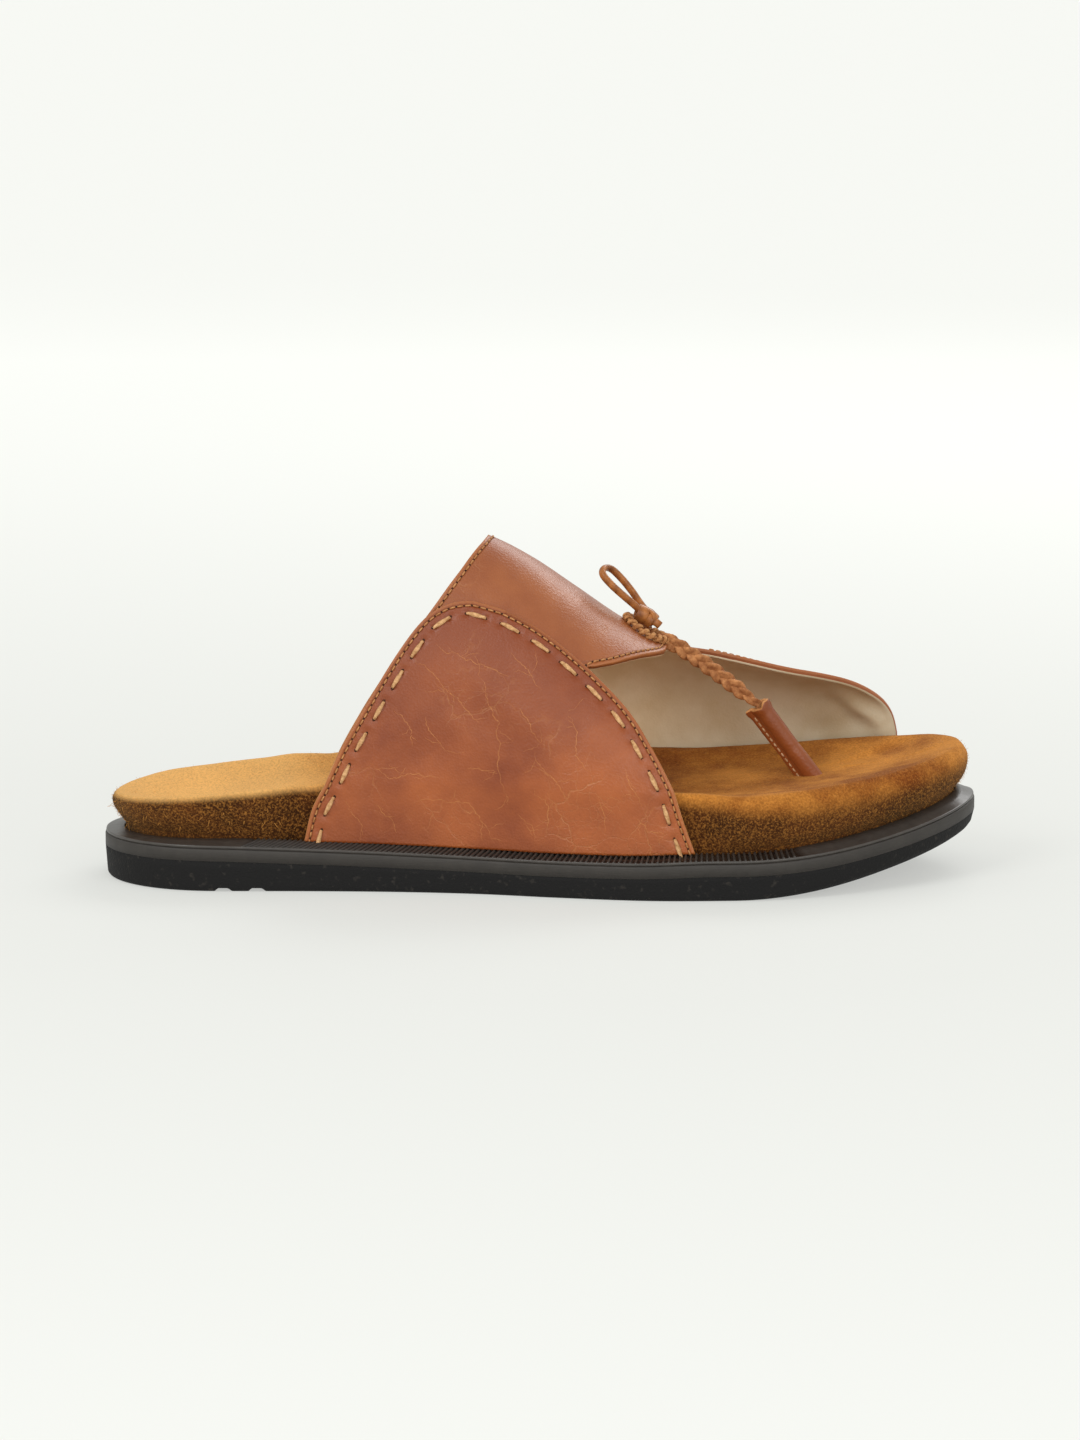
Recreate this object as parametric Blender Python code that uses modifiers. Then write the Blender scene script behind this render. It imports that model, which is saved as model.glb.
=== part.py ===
"""A flat slip-on sandal for the right foot, empty, standing on its sole.

Metres, +Z up. X runs from heel to toe, +Y is the medial side, where the big toe lies, and the
origin is the middle of the bounding box on the floor. A share is a fraction of the sole's length,
0 at the back of the heel and 1 at the toe tip.
"""

import math

import bmesh
import bpy
from mathutils import Vector

# Driving dimensions of the sole
SOLE_LENGTH = 0.284
BALL_WIDTH = 0.104
MIDDLE_SHIFT = 0.0013
HEEL_RADIUS = 0.036
TOE_START = 0.72
TOE_SPRING = 0.0126
SPRING_POWER = 1.8
TOE_ROUNDNESS = 2.05
MIDSOLE_THICKNESS = 0.0037
OUTSOLE_EDGE = 0.0012
TOE_EDGE_ROLL = 0.0030

# Driving dimensions of the welt strip and its ribs
WELT_WIDTH = 0.0063
WELT_LIP = 0.0008
WELT_RISE = 0.0017
WELT_SET_BACK = 0.0004
RIB_PITCH = 0.00175
RIB_DEPTH = 0.00055
RIB_SLANT = 0.0011
RIB_FIRST_SHARE = 0.165
RIB_LAST_SHARE = 0.79

# Tread grooves, across the heel and inside the edge of the forefoot
GROOVE_DEPTH = 0.0012
GROOVE_WIDTH = 0.0045
GROOVE_STEP = 0.0108
HEEL_GROOVES = 2
HEEL_GROOVE_SHARE = 0.142
FOREFOOT_GROOVES = 5
FOREFOOT_GROOVE_SHARE = 0.50
FOREFOOT_GROOVE_LENGTH = 0.062

# Driving dimensions of the leather and lace
FIT_GAP = 0.0003
UPPER_WALL = 0.0022
PANEL_THICKNESS = 0.0013
CROWN_HEIGHT = 0.110
CROWN_SHIFT = 0.005
ARCH_POWER = 2.0
WALL_U = 0.10
MEDIAL_REAR_SHIFT = 0.030
FOOTBED_BULGE = 0.0042
COVER_CLEARANCE = 0.0011
COVER_MARGIN = 0.012
COVER_FADE = 0.018
LACE_DIAMETER = 0.0024

# Driving dimensions of the lace ring, the knot, the braid and the toe post's sleeve
RING_TUBE = 0.0012
RING_LIFT = 1.50
RING_LENGTH = 0.0138
RING_WIDTH = 0.0125
RING_SHARE = 0.624
RING_TURNS = 18
RING_SPREAD = 1.45
KNOT_LENGTH = 0.0092
KNOT_WIDTH = 0.0066
KNOT_HEIGHT = 0.0064
KNOT_TILT = 0.45
KNOT_LIFT = 0.0051
BRAID_START = (0.0007, -0.0035, -0.0010)
BRAID_WIDTH = 0.0043
BRAID_THICKNESS = 0.0032
BRAID_END_WIDTH = 0.0030
BRAID_PITCH = 0.0064
BRAID_RELIEF = 0.0005
POST_SHARE = 0.806
POST_SIDE = 0.0070
POST_LENGTH = 0.0284
POST_LEAN = 0.598
POST_SIDE_LEAN = 0.053
POST_RADIUS = 0.0028
POST_WALL = 0.0009
POST_FLANGE = 0.0018
POST_BORE_DEPTH = 0.0055
POST_SEAT_DEPTH = 0.0030

# Number of steps round the toe, round the heel, and along the straight sides
HEEL_STEPS = 7
SIDE_STEPS = 18
TOE_STEPS = 10

# Rows and steps of the upper's and the panel's grids, and steps to each stretch of the braid
UPPER_ROWS = 40
UPPER_STEPS = 16
PANEL_ROWS = 16
PANEL_STEPS = 12
BRAID_STEPS = 4

# share, centre line and half width as shares of the ball width
OUTLINE = (
    (0.00, 0.000, 0.346),
    (0.12, 0.000, 0.346),
    (0.30, -0.020, 0.335),
    (0.42, -0.035, 0.355),
    (0.52, -0.030, 0.425),
    (0.62, -0.015, 0.490),
    (0.72, -0.012, 0.490),
    (0.80, 0.014, 0.490),
    (0.90, 0.078, 0.490),
    (1.00, 0.130, 0.490),
)

# share, thickness of the black outsole
OUTSOLE = (
    (0.00, 0.0102),
    (0.12, 0.0100),
    (0.24, 0.0090),
    (0.45, 0.0072),
    (0.60, 0.0072),
    (0.69, 0.0080),
    (0.84, 0.0076),
    (1.00, 0.0070),
)

# share, height of the footbed's rim on the lateral and medial side, depth of its dish
FOOTBED = (
    (0.00, 0.0270, 0.0270, 0.0040),
    (0.05, 0.0287, 0.0288, 0.0052),
    (0.11, 0.0305, 0.0303, 0.0062),
    (0.16, 0.0318, 0.0320, 0.0066),
    (0.24, 0.0330, 0.0352, 0.0066),
    (0.30, 0.0336, 0.0370, 0.0062),
    (0.45, 0.0340, 0.0372, 0.0050),
    (0.60, 0.0336, 0.0352, 0.0050),
    (0.69, 0.0340, 0.0350, 0.0055),
    (0.805, 0.0362, 0.0370, 0.0058),
    (0.90, 0.0388, 0.0390, 0.0055),
    (1.00, 0.0418, 0.0418, 0.0045),
)

# share of the footbed's bare side height above the welt, share of its bulge
FOOTBED_SIDE = (
    (0.00, 0.00),
    (0.24, 0.42),
    (0.50, 0.82),
    (0.76, 1.00),
    (0.92, 0.86),
)

# inset from the rim as a share of the half width, share of the dish's depth
FOOTBED_TOP = (
    (0.05, -0.04),
    (0.11, 0.04),
    (0.22, 0.34),
    (0.38, 0.72),
    (0.60, 0.95),
    (0.82, 1.00),
)

# share, height of the upper's crown as a share of the crown height
CROWN = (
    (0.20, 1.080),
    (0.38, 1.045),
    (0.44, 1.000),
    (0.49, 0.936),
    (0.54, 0.852),
    (0.595, 0.757),
    (0.65, 0.680),
    (0.71, 0.650),
    (0.755, 0.624),
    (0.80, 0.600),
    (0.85, 0.580),
    (0.90, 0.556),
    (0.96, 0.520),
)

# u round the arch from either foot to the crown, share of the upper's rear edge
UPPER_REAR = (
    (0.000, 0.219),
    (0.070, 0.232),
    (0.128, 0.259),
    (0.172, 0.288),
    (0.204, 0.311),
    (0.240, 0.336),
    (0.272, 0.360),
    (0.312, 0.384),
    (0.364, 0.408),
    (0.436, 0.429),
    (0.500, 0.438),
)

# u round the arch from the lateral foot to the medial foot, share of the upper's front edge
UPPER_FRONT = (
    (0.000, 0.678),
    (0.060, 0.661),
    (0.116, 0.648),
    (0.176, 0.628),
    (0.224, 0.603),
    (0.258, 0.574),
    (0.276, 0.550),
    (0.296, 0.566),
    (0.324, 0.588),
    (0.372, 0.616),
    (0.436, 0.645),
    (0.490, 0.655),
    (0.520, 0.682),
    (0.545, 0.722),
    (0.575, 0.772),
    (0.605, 0.822),
    (0.650, 0.872),
    (0.720, 0.908),
    (0.800, 0.928),
    (0.900, 0.937),
    (1.000, 0.940),
)

# share and u of the panel's rear edge, share and u of its front edge, from the foot to the top
PANEL = (
    (0.00, 0.220, 0.020, 0.679, 0.020),
    (0.16, 0.232, 0.072, 0.664, 0.064),
    (0.34, 0.260, 0.128, 0.650, 0.118),
    (0.48, 0.290, 0.172, 0.630, 0.176),
    (0.68, 0.336, 0.240, 0.600, 0.236),
    (0.80, 0.362, 0.274, 0.562, 0.272),
    (0.88, 0.382, 0.291, 0.526, 0.292),
    (0.95, 0.402, 0.302, 0.490, 0.304),
    (1.00, 0.420, 0.308, 0.456, 0.309),
)

# share of the way from the vamp's front edge to the sleeve's mouth, rise of the braid above that line
BRAID_BOW = (
    (0.00, 0.0000),
    (0.19, 0.0014),
    (0.44, 0.0011),
    (0.68, 0.0006),
    (0.88, 0.0000),
    (1.00, 0.0000),
)

# the lace loop's middle line, out of the knot and back into it, from the knot's centre
LOOP_PATH = (
    (-0.0030, -0.0020, 0.0038),
    (-0.0066, -0.0030, 0.0070),
    (-0.0109, -0.0036, 0.0108),
    (-0.0137, -0.0022, 0.0140),
    (-0.0134, 0.0006, 0.0157),
    (-0.0109, 0.0034, 0.0151),
    (-0.0073, 0.0046, 0.0120),
    (-0.0033, 0.0042, 0.0078),
    (0.0006, 0.0024, 0.0042),
)


def table_value(table, share, column):
    """Reads a column at a share, along a smooth curve through the table's rows."""
    rows = [(row[0], row[column]) for row in table]
    if share <= rows[0][0]:
        return rows[0][1]
    if share >= rows[-1][0]:
        return rows[-1][1]
    k = next(i for i in range(len(rows) - 1) if share <= rows[i + 1][0])

    def slope(i):
        low = rows[max(i - 1, 0)]
        high = rows[min(i + 1, len(rows) - 1)]
        return (high[1] - low[1]) / (high[0] - low[0])

    (s0, v0), (s1, v1) = rows[k], rows[k + 1]
    width = s1 - s0
    t = (share - s0) / width
    m0, m1 = slope(k) * width, slope(k + 1) * width
    return (
        v0 * (2 * t**3 - 3 * t**2 + 1)
        + m0 * (t**3 - 2 * t**2 + t)
        + v1 * (3 * t**2 - 2 * t**3)
        + m1 * (t**3 - t**2)
    )


def smooth_step(low, high, value):
    """Goes from 0 at low to 1 at high with a soft start and end."""
    t = min(max((value - low) / (high - low), 0.0), 1.0)
    return t * t * (3 - 2 * t)


def end_rounding(share):
    """The share of the full half width that is left near the heel's and the toe's round ends."""
    heel_share = HEEL_RADIUS / SOLE_LENGTH
    if share < heel_share:
        return math.sqrt(max(1 - (1 - share / heel_share) ** 2, 0.0))
    if share > TOE_START:
        t = min((share - TOE_START) / (1 - TOE_START), 1.0)
        return (1 - t**TOE_ROUNDNESS) ** (1 / TOE_ROUNDNESS)
    return 1.0


def plan_point(share, side, inset):
    """A point of the outline, drawn in by inset. side is -1 for lateral and 1 for medial."""
    x = -SOLE_LENGTH / 2 + inset + share * (SOLE_LENGTH - 2 * inset)
    centre = table_value(OUTLINE, share, 1) * BALL_WIDTH + MIDDLE_SHIFT
    half = table_value(OUTLINE, share, 2) * BALL_WIDTH - inset
    return x, centre + side * half * end_rounding(share)


def spring(share):
    """The sole's rise from the floor towards the toe tip."""
    t = max((share - TOE_START) / (1 - TOE_START), 0.0)
    return TOE_SPRING * t**SPRING_POWER


def outsole_top(share):
    return spring(share) + table_value(OUTSOLE, share, 1)


def midsole_top(share):
    return outsole_top(share) + FIT_GAP + MIDSOLE_THICKNESS


def stations():
    """Shares from heel to toe, closer together where the ends turn."""
    heel_share = HEEL_RADIUS / SOLE_LENGTH
    heel = [heel_share * (1 - math.cos(math.pi / 2 * i / HEEL_STEPS)) for i in range(HEEL_STEPS)]
    side = [heel_share + (TOE_START - heel_share) * i / SIDE_STEPS for i in range(SIDE_STEPS)]
    toe = [TOE_START + (1 - TOE_START) * math.sin(math.pi / 2 * i / TOE_STEPS) for i in range(TOE_STEPS + 1)]
    return heel + side + toe


def perimeter(shares):
    """Pairs of share and side, along the lateral side from heel to toe and back on the medial side."""
    lateral = [(share, -1) for share in shares]
    medial = [(share, 1) for share in reversed(shares[1:-1])]
    return lateral + medial


def new_object(name, mesh, material):
    """Puts a mesh in the sandal's collection as one named object with its material."""
    obj = bpy.data.objects.new(name, mesh)
    SANDAL.objects.link(obj)
    mesh.materials.append(material)
    mesh.shade_smooth()
    mesh.set_sharp_from_angle(angle=math.radians(40))
    return obj


def mesh_from(name, bm):
    bmesh.ops.recalc_face_normals(bm, faces=bm.faces)
    mesh = bpy.data.meshes.new(name)
    bm.to_mesh(mesh)
    bm.free()
    return mesh


def material(name, colour, roughness):
    """A Principled material from a linear colour."""
    made = bpy.data.materials.new(name)
    made.use_nodes = True
    shader = made.node_tree.nodes["Principled BSDF"]
    shader.inputs["Base Color"].default_value = (*colour, 1)
    shader.inputs["Roughness"].default_value = roughness
    shader.inputs["Metallic"].default_value = 0.0
    made.diffuse_color = (*colour, 1)
    return made


def loft_plates(name, rings, shares):
    """Joins rings of the outline into one closed plate, its two ends closed by strips across."""
    bm = bmesh.new()
    made = [[bm.verts.new(point) for point in ring] for ring in rings]
    count = len(made[0])
    for low, high in zip(made, made[1:]):
        for i in range(count):
            j = (i + 1) % count
            bm.faces.new((low[i], low[j], high[j], high[i]))
    last = len(shares) - 1
    for ring in (made[0], made[-1]):
        lateral = ring[: last + 1]
        medial = [ring[0]] + ring[:last:-1] + [ring[last]]
        for i in range(last):
            corners = [lateral[i], lateral[i + 1], medial[i + 1], medial[i]]
            bm.faces.new(tuple(dict.fromkeys(corners)))
    return mesh_from(name, bm)


def ring_at(shares, inset, height):
    """One ring of the outline. inset and height are functions of share and side."""
    ring = []
    for share, side in perimeter(shares):
        x, y = plan_point(share, side, inset(share, side))
        ring.append((x, y, height(share, side)))
    return ring


def cut(obj, cutters):
    """Cuts boxes or cylinders, already joined into one mesh, out of a solid."""
    CUTTERS.objects.link(cutters)
    cutters.hide_render = True
    cutters.display_type = "WIRE"
    modifier = obj.modifiers.new("cut", "BOOLEAN")
    modifier.operation = "DIFFERENCE"
    modifier.object = cutters


def build_outsole():
    """The black sole, with a rounded lower edge, a rolled toe and shallow tread grooves."""
    shares = stations()

    def roll(share):
        return smooth_step(TOE_START, 1.0, share) * TOE_EDGE_ROLL

    rings = [
        ring_at(shares, lambda s, _: 2 * OUTSOLE_EDGE + 2 * roll(s), lambda s, _: spring(s)),
        ring_at(shares, lambda s, _: OUTSOLE_EDGE + roll(s) / 2, lambda s, _: spring(s) + 0.3 * OUTSOLE_EDGE + 0.4 * roll(s)),
        ring_at(shares, lambda s, _: 0.5 * OUTSOLE_EDGE, lambda s, _: spring(s) + 1.4 * OUTSOLE_EDGE + roll(s)),
        ring_at(shares, lambda s, _: 0.0, lambda s, _: outsole_top(s)),
    ]
    sole = new_object("outsole", loft_plates("outsole", rings, shares), material("black_foam_rubber", (0.014, 0.013, 0.014), 0.85))
    bars = [(HEEL_GROOVE_SHARE, i, 2 * BALL_WIDTH) for i in range(HEEL_GROOVES)]
    bars += [(FOREFOOT_GROOVE_SHARE, i, FOREFOOT_GROOVE_LENGTH) for i in range(FOREFOOT_GROOVES)]
    bm = bmesh.new()
    for first_share, i, length in bars:
        x = plan_point(first_share, 1, 0.0)[0] + i * GROOVE_STEP
        made = bmesh.ops.create_cube(bm, size=1.0)["verts"]
        bmesh.ops.scale(bm, vec=(GROOVE_WIDTH, length, 2 * GROOVE_DEPTH), verts=made)
        bmesh.ops.translate(bm, vec=(x, 0, 0), verts=made)
    cut(sole, bpy.data.objects.new("tread_cutters", mesh_from("tread_cutters", bm)))


def build_midsole():
    """The grey layer over the outsole, its outer edge flush with the welt."""
    shares = stations()
    lip = WELT_SET_BACK
    rings = [
        ring_at(shares, lambda s, _: 0.0, lambda s, _: outsole_top(s) + FIT_GAP),
        ring_at(shares, lambda s, _: 0.0, lambda s, _: midsole_top(s) - lip),
        ring_at(shares, lambda s, _: lip, lambda s, _: midsole_top(s)),
    ]
    new_object("midsole", loft_plates("midsole", rings, shares), material("grey_rubber", (0.085, 0.075, 0.068), 0.7))


def rib_shares(first):
    """Shares at every crest and trough between the first and the last rib."""
    step = RIB_PITCH / 2 / SOLE_LENGTH
    count = int((RIB_LAST_SHARE - first) / step)
    return [first + i * step for i in range(count + 1)]


def build_welt():
    """The strip round the footbed: a ledge that rises inwards, ribbed along both sides."""
    ribs = rib_shares(RIB_FIRST_SHARE)
    plain = [s for s in stations() if s < ribs[0] - 0.01 or s > ribs[-1] + 0.01]
    shares = sorted([(s, None) for s in plain] + [(s, i) for i, s in enumerate(ribs)], key=lambda pair: pair[0])
    loop = [(s, i, -1) for s, i in shares] + [(s, i, 1) for s, i in reversed(shares[1:-1])]
    bm = bmesh.new()
    sections = []
    for share, rib, side in loop:
        trough = RIB_DEPTH if rib is not None and rib % 2 else 0.0
        slant = RIB_SLANT / SOLE_LENGTH if rib is not None else 0.0
        base = midsole_top(share) + FIT_GAP
        rise = WELT_RISE * (0.3 + 0.7 * smooth_step(0.0, 0.2, share))
        outer_x, outer_y = plan_point(share - slant, side, WELT_SET_BACK)
        inner_x, inner_y = plan_point(share + slant, side, WELT_WIDTH)
        outer_base = midsole_top(share - slant) + FIT_GAP
        inner_base = midsole_top(share + slant) + FIT_GAP
        section = [
            (outer_x, outer_y, outer_base),
            (outer_x, outer_y, outer_base + WELT_LIP - trough / 2),
            (inner_x, inner_y, base + WELT_LIP + rise - trough),
            (inner_x, inner_y, inner_base),
        ]
        sections.append([bm.verts.new(point) for point in section])
    for a, b in zip(sections, sections[1:] + sections[:1]):
        for k in range(4):
            bm.faces.new((a[k], b[k], b[(k + 1) % 4], a[(k + 1) % 4]))
    new_object("welt", mesh_from("welt", bm), material("dark_ribbed_rubber", (0.035, 0.028, 0.025), 0.75))


def covered(share, side):
    """1 where the upper wraps the footbed's side and 0 where the side is bare."""
    rear = UPPER_REAR[0][1] - COVER_MARGIN
    front = (UPPER_FRONT[0][1] if side < 0 else UPPER_FRONT[-1][1]) + COVER_MARGIN
    return smooth_step(rear - COVER_FADE, rear, share) * (1 - smooth_step(front, front + COVER_FADE, share))


def upper_inset():
    return WELT_WIDTH + FIT_GAP


def footbed_inset(share, side):
    """The footbed's lower edge, inside the welt, and further in where the upper comes down beside it."""
    beside_welt = WELT_WIDTH + FIT_GAP
    beside_upper = upper_inset() + UPPER_WALL + COVER_CLEARANCE
    return beside_welt + covered(share, side) * (beside_upper - beside_welt)


def rim_height(share, side):
    return table_value(FOOTBED, share, 1 if side < 0 else 2)


def footbed_base(share):
    return midsole_top(share) + FIT_GAP


def footbed_top(share, side, inwards):
    """Height of the dished top at an inset share from the rim."""
    dish = table_value(FOOTBED, share, 3)
    return rim_height(share, side) - dish * table_value(FOOTBED_TOP, inwards, 1)


def post_frame():
    """The sleeve's seat, its direction upwards, and two directions across it, the first to the rear."""
    x = plan_point(POST_SHARE, 1, 0.0)[0]
    dish = FOOTBED_TOP[-1][0]
    height = (footbed_top(POST_SHARE, -1, dish) + footbed_top(POST_SHARE, 1, dish)) / 2
    seat = Vector((x, POST_SIDE, height))
    upwards = Vector((-math.sin(POST_LEAN), -POST_SIDE_LEAN, math.cos(POST_LEAN))).normalized()
    across = upwards.cross(Vector((0, 1, 0))).normalized() * -1
    return seat, upwards, across, upwards.cross(across)


def post_ring(along, radius, flange):
    """One ring of the sleeve's section at a distance above its seat: round, with a sewn flange behind."""
    seat, upwards, rearwards, sideways = post_frame()
    count = 20
    ring = []
    for k in range(count):
        angle = 2 * math.pi * (k + 0.5) / count
        reach = radius + (flange if k in (0, count - 1) else 0.0)
        ring.append(seat + upwards * along + rearwards * reach * math.cos(angle) + sideways * reach * math.sin(angle))
    return ring


def loft_closed(name, rings, caps):
    """Joins rings of equal count, closed by a cap at each end or, without caps, back to the first."""
    bm = bmesh.new()
    made = [[bm.verts.new(point) for point in ring] for ring in rings]
    pairs = list(zip(made, made[1:])) + ([] if caps else [(made[-1], made[0])])
    count = len(made[0])
    for low, high in pairs:
        for i in range(count):
            j = (i + 1) % count
            bm.faces.new((low[i], low[j], high[j], high[i]))
    if caps:
        bm.faces.new(made[0])
        bm.faces.new(made[-1])
    return mesh_from(name, bm)


def build_footbed():
    """The suede-wrapped footbed, undercut at its bare sides, with a round rim and a dished top."""
    shares = stations()

    def bulge(share, side):
        return FOOTBED_BULGE * (1 - covered(share, side))

    def bare_base(share):
        return footbed_base(share) + WELT_LIP + WELT_RISE + FIT_GAP

    rings = [ring_at(shares, footbed_inset, lambda s, _: footbed_base(s))]
    for height_share, bulge_share in FOOTBED_SIDE:
        rings.append(
            ring_at(
                shares,
                lambda s, side, b=bulge_share: footbed_inset(s, side) - b * bulge(s, side),
                lambda s, side, h=height_share: bare_base(s) + h * (rim_height(s, side) - bare_base(s)),
            )
        )
    rim_share = FOOTBED_SIDE[-1][1]
    for inwards, _ in FOOTBED_TOP:
        rings.append(
            ring_at(
                shares,
                lambda s, side, q=inwards: (1 - q) * (footbed_inset(s, side) - rim_share * bulge(s, side))
                + q * table_value(OUTLINE, s, 2) * BALL_WIDTH,
                lambda s, side, q=inwards: footbed_top(s, side, q),
            )
        )
    bed = new_object("footbed", loft_plates("footbed", rings, shares), material("tan_suede", (0.48, 0.25, 0.07), 0.95))
    depth = POST_SEAT_DEPTH + FIT_GAP
    radius = POST_RADIUS + FIT_GAP
    socket = loft_closed("post_socket", [post_ring(-depth, radius, POST_FLANGE), post_ring(2 * depth, radius, POST_FLANGE)], True)
    cut(bed, bpy.data.objects.new("post_socket", socket))


def upper_foot(share):
    return midsole_top(share) + FIT_GAP


def upper_point(share, u):
    """The upper's outer surface: a straight wall beside the footbed, then an arch over the foot."""
    x, lateral = plan_point(share, -1, upper_inset())
    _, medial = plan_point(share, 1, upper_inset())
    foot = upper_foot(share)
    side = -1 if u < 0.5 else 1
    shoulder = rim_height(share, -1) + (rim_height(share, 1) - rim_height(share, -1)) * u
    crown = table_value(CROWN, share, 1) * CROWN_HEIGHT
    up = min(u, 1 - u)
    if up < WALL_U:
        return Vector((x, lateral if side < 0 else medial, foot + (shoulder - foot) * up / WALL_U))
    angle = math.pi / 2 * (up - WALL_U) / (0.5 - WALL_U)
    across = math.cos(angle) ** (2 / ARCH_POWER) if up < 0.5 else 0.0
    rise = math.sin(angle) ** (2 / ARCH_POWER)
    y = (lateral + medial) / 2 + side * across * (medial - lateral) / 2 + CROWN_SHIFT * rise
    return Vector((x, y, shoulder + (crown - shoulder) * rise))


def upper_normal(share, u):
    """Outward normal of the upper's surface."""
    step = 0.002
    low_u, high_u = max(u - step, 0.0), min(u + step, 1.0)
    along = upper_point(share + step, u) - upper_point(share - step, u)
    round_arch = upper_point(share, high_u) - upper_point(share, low_u)
    return along.cross(round_arch).normalized()


def surface_grid(name, rows, steps, offset):
    """An open grid on the upper's surface. Each row gives the share and u of its two ends."""
    bm = bmesh.new()
    grid = []
    for (rear, rear_u), (front, front_u) in rows:
        row = []
        for j in range(steps + 1):
            share = rear + (front - rear) * j / steps
            u = rear_u + (front_u - rear_u) * j / steps
            row.append(bm.verts.new(upper_point(share, u) + upper_normal(share, u) * offset))
        grid.append(row)
    for a, b in zip(grid, grid[1:]):
        for j in range(steps):
            bm.faces.new((a[j], a[j + 1], b[j + 1], b[j]))
    mesh = bpy.data.meshes.new(name)
    bm.to_mesh(mesh)
    bm.free()
    return mesh


def solidify(obj, thickness, offset):
    wall = obj.modifiers.new("wall", "SOLIDIFY")
    wall.thickness = thickness
    wall.offset = offset
    wall.use_even_offset = True


def build_upper():
    """The vamp over the instep with its long medial wing: one leather wall, open at both ends."""
    rows = []
    for i in range(UPPER_ROWS + 1):
        u = i / UPPER_ROWS
        rear = table_value(UPPER_REAR, min(u, 1 - u), 1) + MEDIAL_REAR_SHIFT * smooth_step(0.5, 0.7, u)
        rows.append(((rear, u), (table_value(UPPER_FRONT, u, 1), u)))
    upper = new_object("upper", surface_grid("upper", rows, UPPER_STEPS, 0.0), material("pull_up_leather", (0.37, 0.10, 0.045), 0.42))
    solidify(upper, UPPER_WALL, -1)


def build_side_panel():
    """The lateral panel sewn over the vamp, cut from the upper's own surface."""
    rows = []
    for i in range(PANEL_ROWS + 1):
        rear, rear_u, front, front_u = [table_value(PANEL, i / PANEL_ROWS, k) for k in (1, 2, 3, 4)]
        rows.append(((rear, rear_u), (front, front_u)))
    panel = new_object("side_panel", surface_grid("side_panel", rows, PANEL_STEPS, FIT_GAP), material("panel_leather", (0.37, 0.10, 0.045), 0.42))
    solidify(panel, PANEL_THICKNESS, 1)


def build_toe_post():
    """The leather sleeve of the toe post, open at its mouth and seated in the footbed."""
    bore = POST_RADIUS - POST_WALL
    rings = [
        post_ring(-POST_SEAT_DEPTH, POST_RADIUS, POST_FLANGE),
        post_ring(POST_LENGTH / 2, POST_RADIUS, POST_FLANGE),
        post_ring(POST_LENGTH, POST_RADIUS, POST_FLANGE),
        post_ring(POST_LENGTH, bore, 0.0),
        post_ring(POST_LENGTH - POST_BORE_DEPTH, bore, 0.0),
    ]
    new_object("toe_post", loft_closed("toe_post", rings, True), material("sleeve_leather", (0.22, 0.06, 0.03), 0.45))


def smooth_path(points, steps):
    """Points along a smooth curve through the given points, steps to each stretch."""
    made = [Vector(point) for point in points]
    path = []
    for i in range(len(made) - 1):
        before = made[max(i - 1, 0)]
        after = made[min(i + 2, len(made) - 1)]
        start, end = made[i], made[i + 1]
        for k in range(steps):
            t = k / steps
            path.append(
                0.5
                * (
                    2 * start
                    + (end - before) * t
                    + (2 * before - 5 * start + 4 * end - after) * t * t
                    + (3 * start - before - 3 * end + after) * t**3
                )
            )
    path.append(made[-1])
    return path


def build_thong():
    """The braided thong: one solid with the lobes of a flat three-strand plait, tapered into the sleeve."""
    seat, upwards, _, _ = post_frame()
    mouth = seat + upwards * POST_LENGTH
    end = mouth - upwards * (POST_BORE_DEPTH - FIT_GAP)
    start = upper_point(table_value(UPPER_FRONT, 0.5, 1), 0.5) + Vector(BRAID_START)
    route = [start + (mouth - start) * share + Vector((0, 0, rise)) for share, rise in BRAID_BOW]
    path = smooth_path(route + [end], BRAID_STEPS)
    rings = []
    travelled = 0.0
    count = 12
    for i, point in enumerate(path):
        before, after = path[max(i - 1, 0)], path[min(i + 1, len(path) - 1)]
        if i:
            travelled += (point - path[i - 1]).length
        along = (after - before).normalized()
        broad = along.cross(Vector((0, 1, 0))).normalized()
        thin = along.cross(broad)
        taper = smooth_step(0.6, 0.86, i / (len(path) - 1))
        width = BRAID_WIDTH + (BRAID_END_WIDTH - BRAID_WIDTH) * taper
        thickness = BRAID_THICKNESS + (BRAID_END_WIDTH - BRAID_THICKNESS) * taper
        ring = []
        for k in range(count):
            angle = 2 * math.pi * k / count
            wave = math.sin(2 * math.pi * travelled / BRAID_PITCH + (angle if k < count / 2 else -angle) * 1.5)
            relief = BRAID_RELIEF * (1 - taper) * wave
            ring.append(
                point
                + broad * (width / 2 + relief) * math.cos(angle)
                + thin * (thickness / 2 + relief) * math.sin(angle)
            )
        rings.append(ring)
    new_object("thong", loft_closed("thong", rings, True), material("braided_leather", (0.27, 0.12, 0.05), 0.7))


def build_lace_ring():
    """The oval ring of whipped lace round the slot at the vamp's front, lying on the leather."""
    length_share = RING_LENGTH / 2 / SOLE_LENGTH
    width_u = RING_WIDTH / 2 / (BALL_WIDTH * RING_SPREAD)
    steps = 2 * RING_TURNS
    centres = []
    for i in range(steps):
        angle = 2 * math.pi * i / steps
        share = RING_SHARE + length_share * math.cos(angle)
        u = 0.5 + width_u * math.sin(angle)
        normal = upper_normal(share, u)
        centres.append((upper_point(share, u) + normal * (FIT_GAP + RING_TUBE * RING_LIFT), normal))
    rings = []
    for i, (centre, normal) in enumerate(centres):
        along = (centres[(i + 1) % steps][0] - centres[i - 1][0]).normalized()
        across = along.cross(normal).normalized()
        radius = RING_TUBE * (1.12 if i % 2 else 0.88)
        rings.append(
            [
                centre + (across * math.cos(math.pi * k / 4) + normal * math.sin(math.pi * k / 4)) * radius
                for k in range(8)
            ]
        )
    new_object("lace_ring", loft_closed("lace_ring", rings, False), material("whipped_lace", (0.36, 0.17, 0.06), 0.7))


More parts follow.
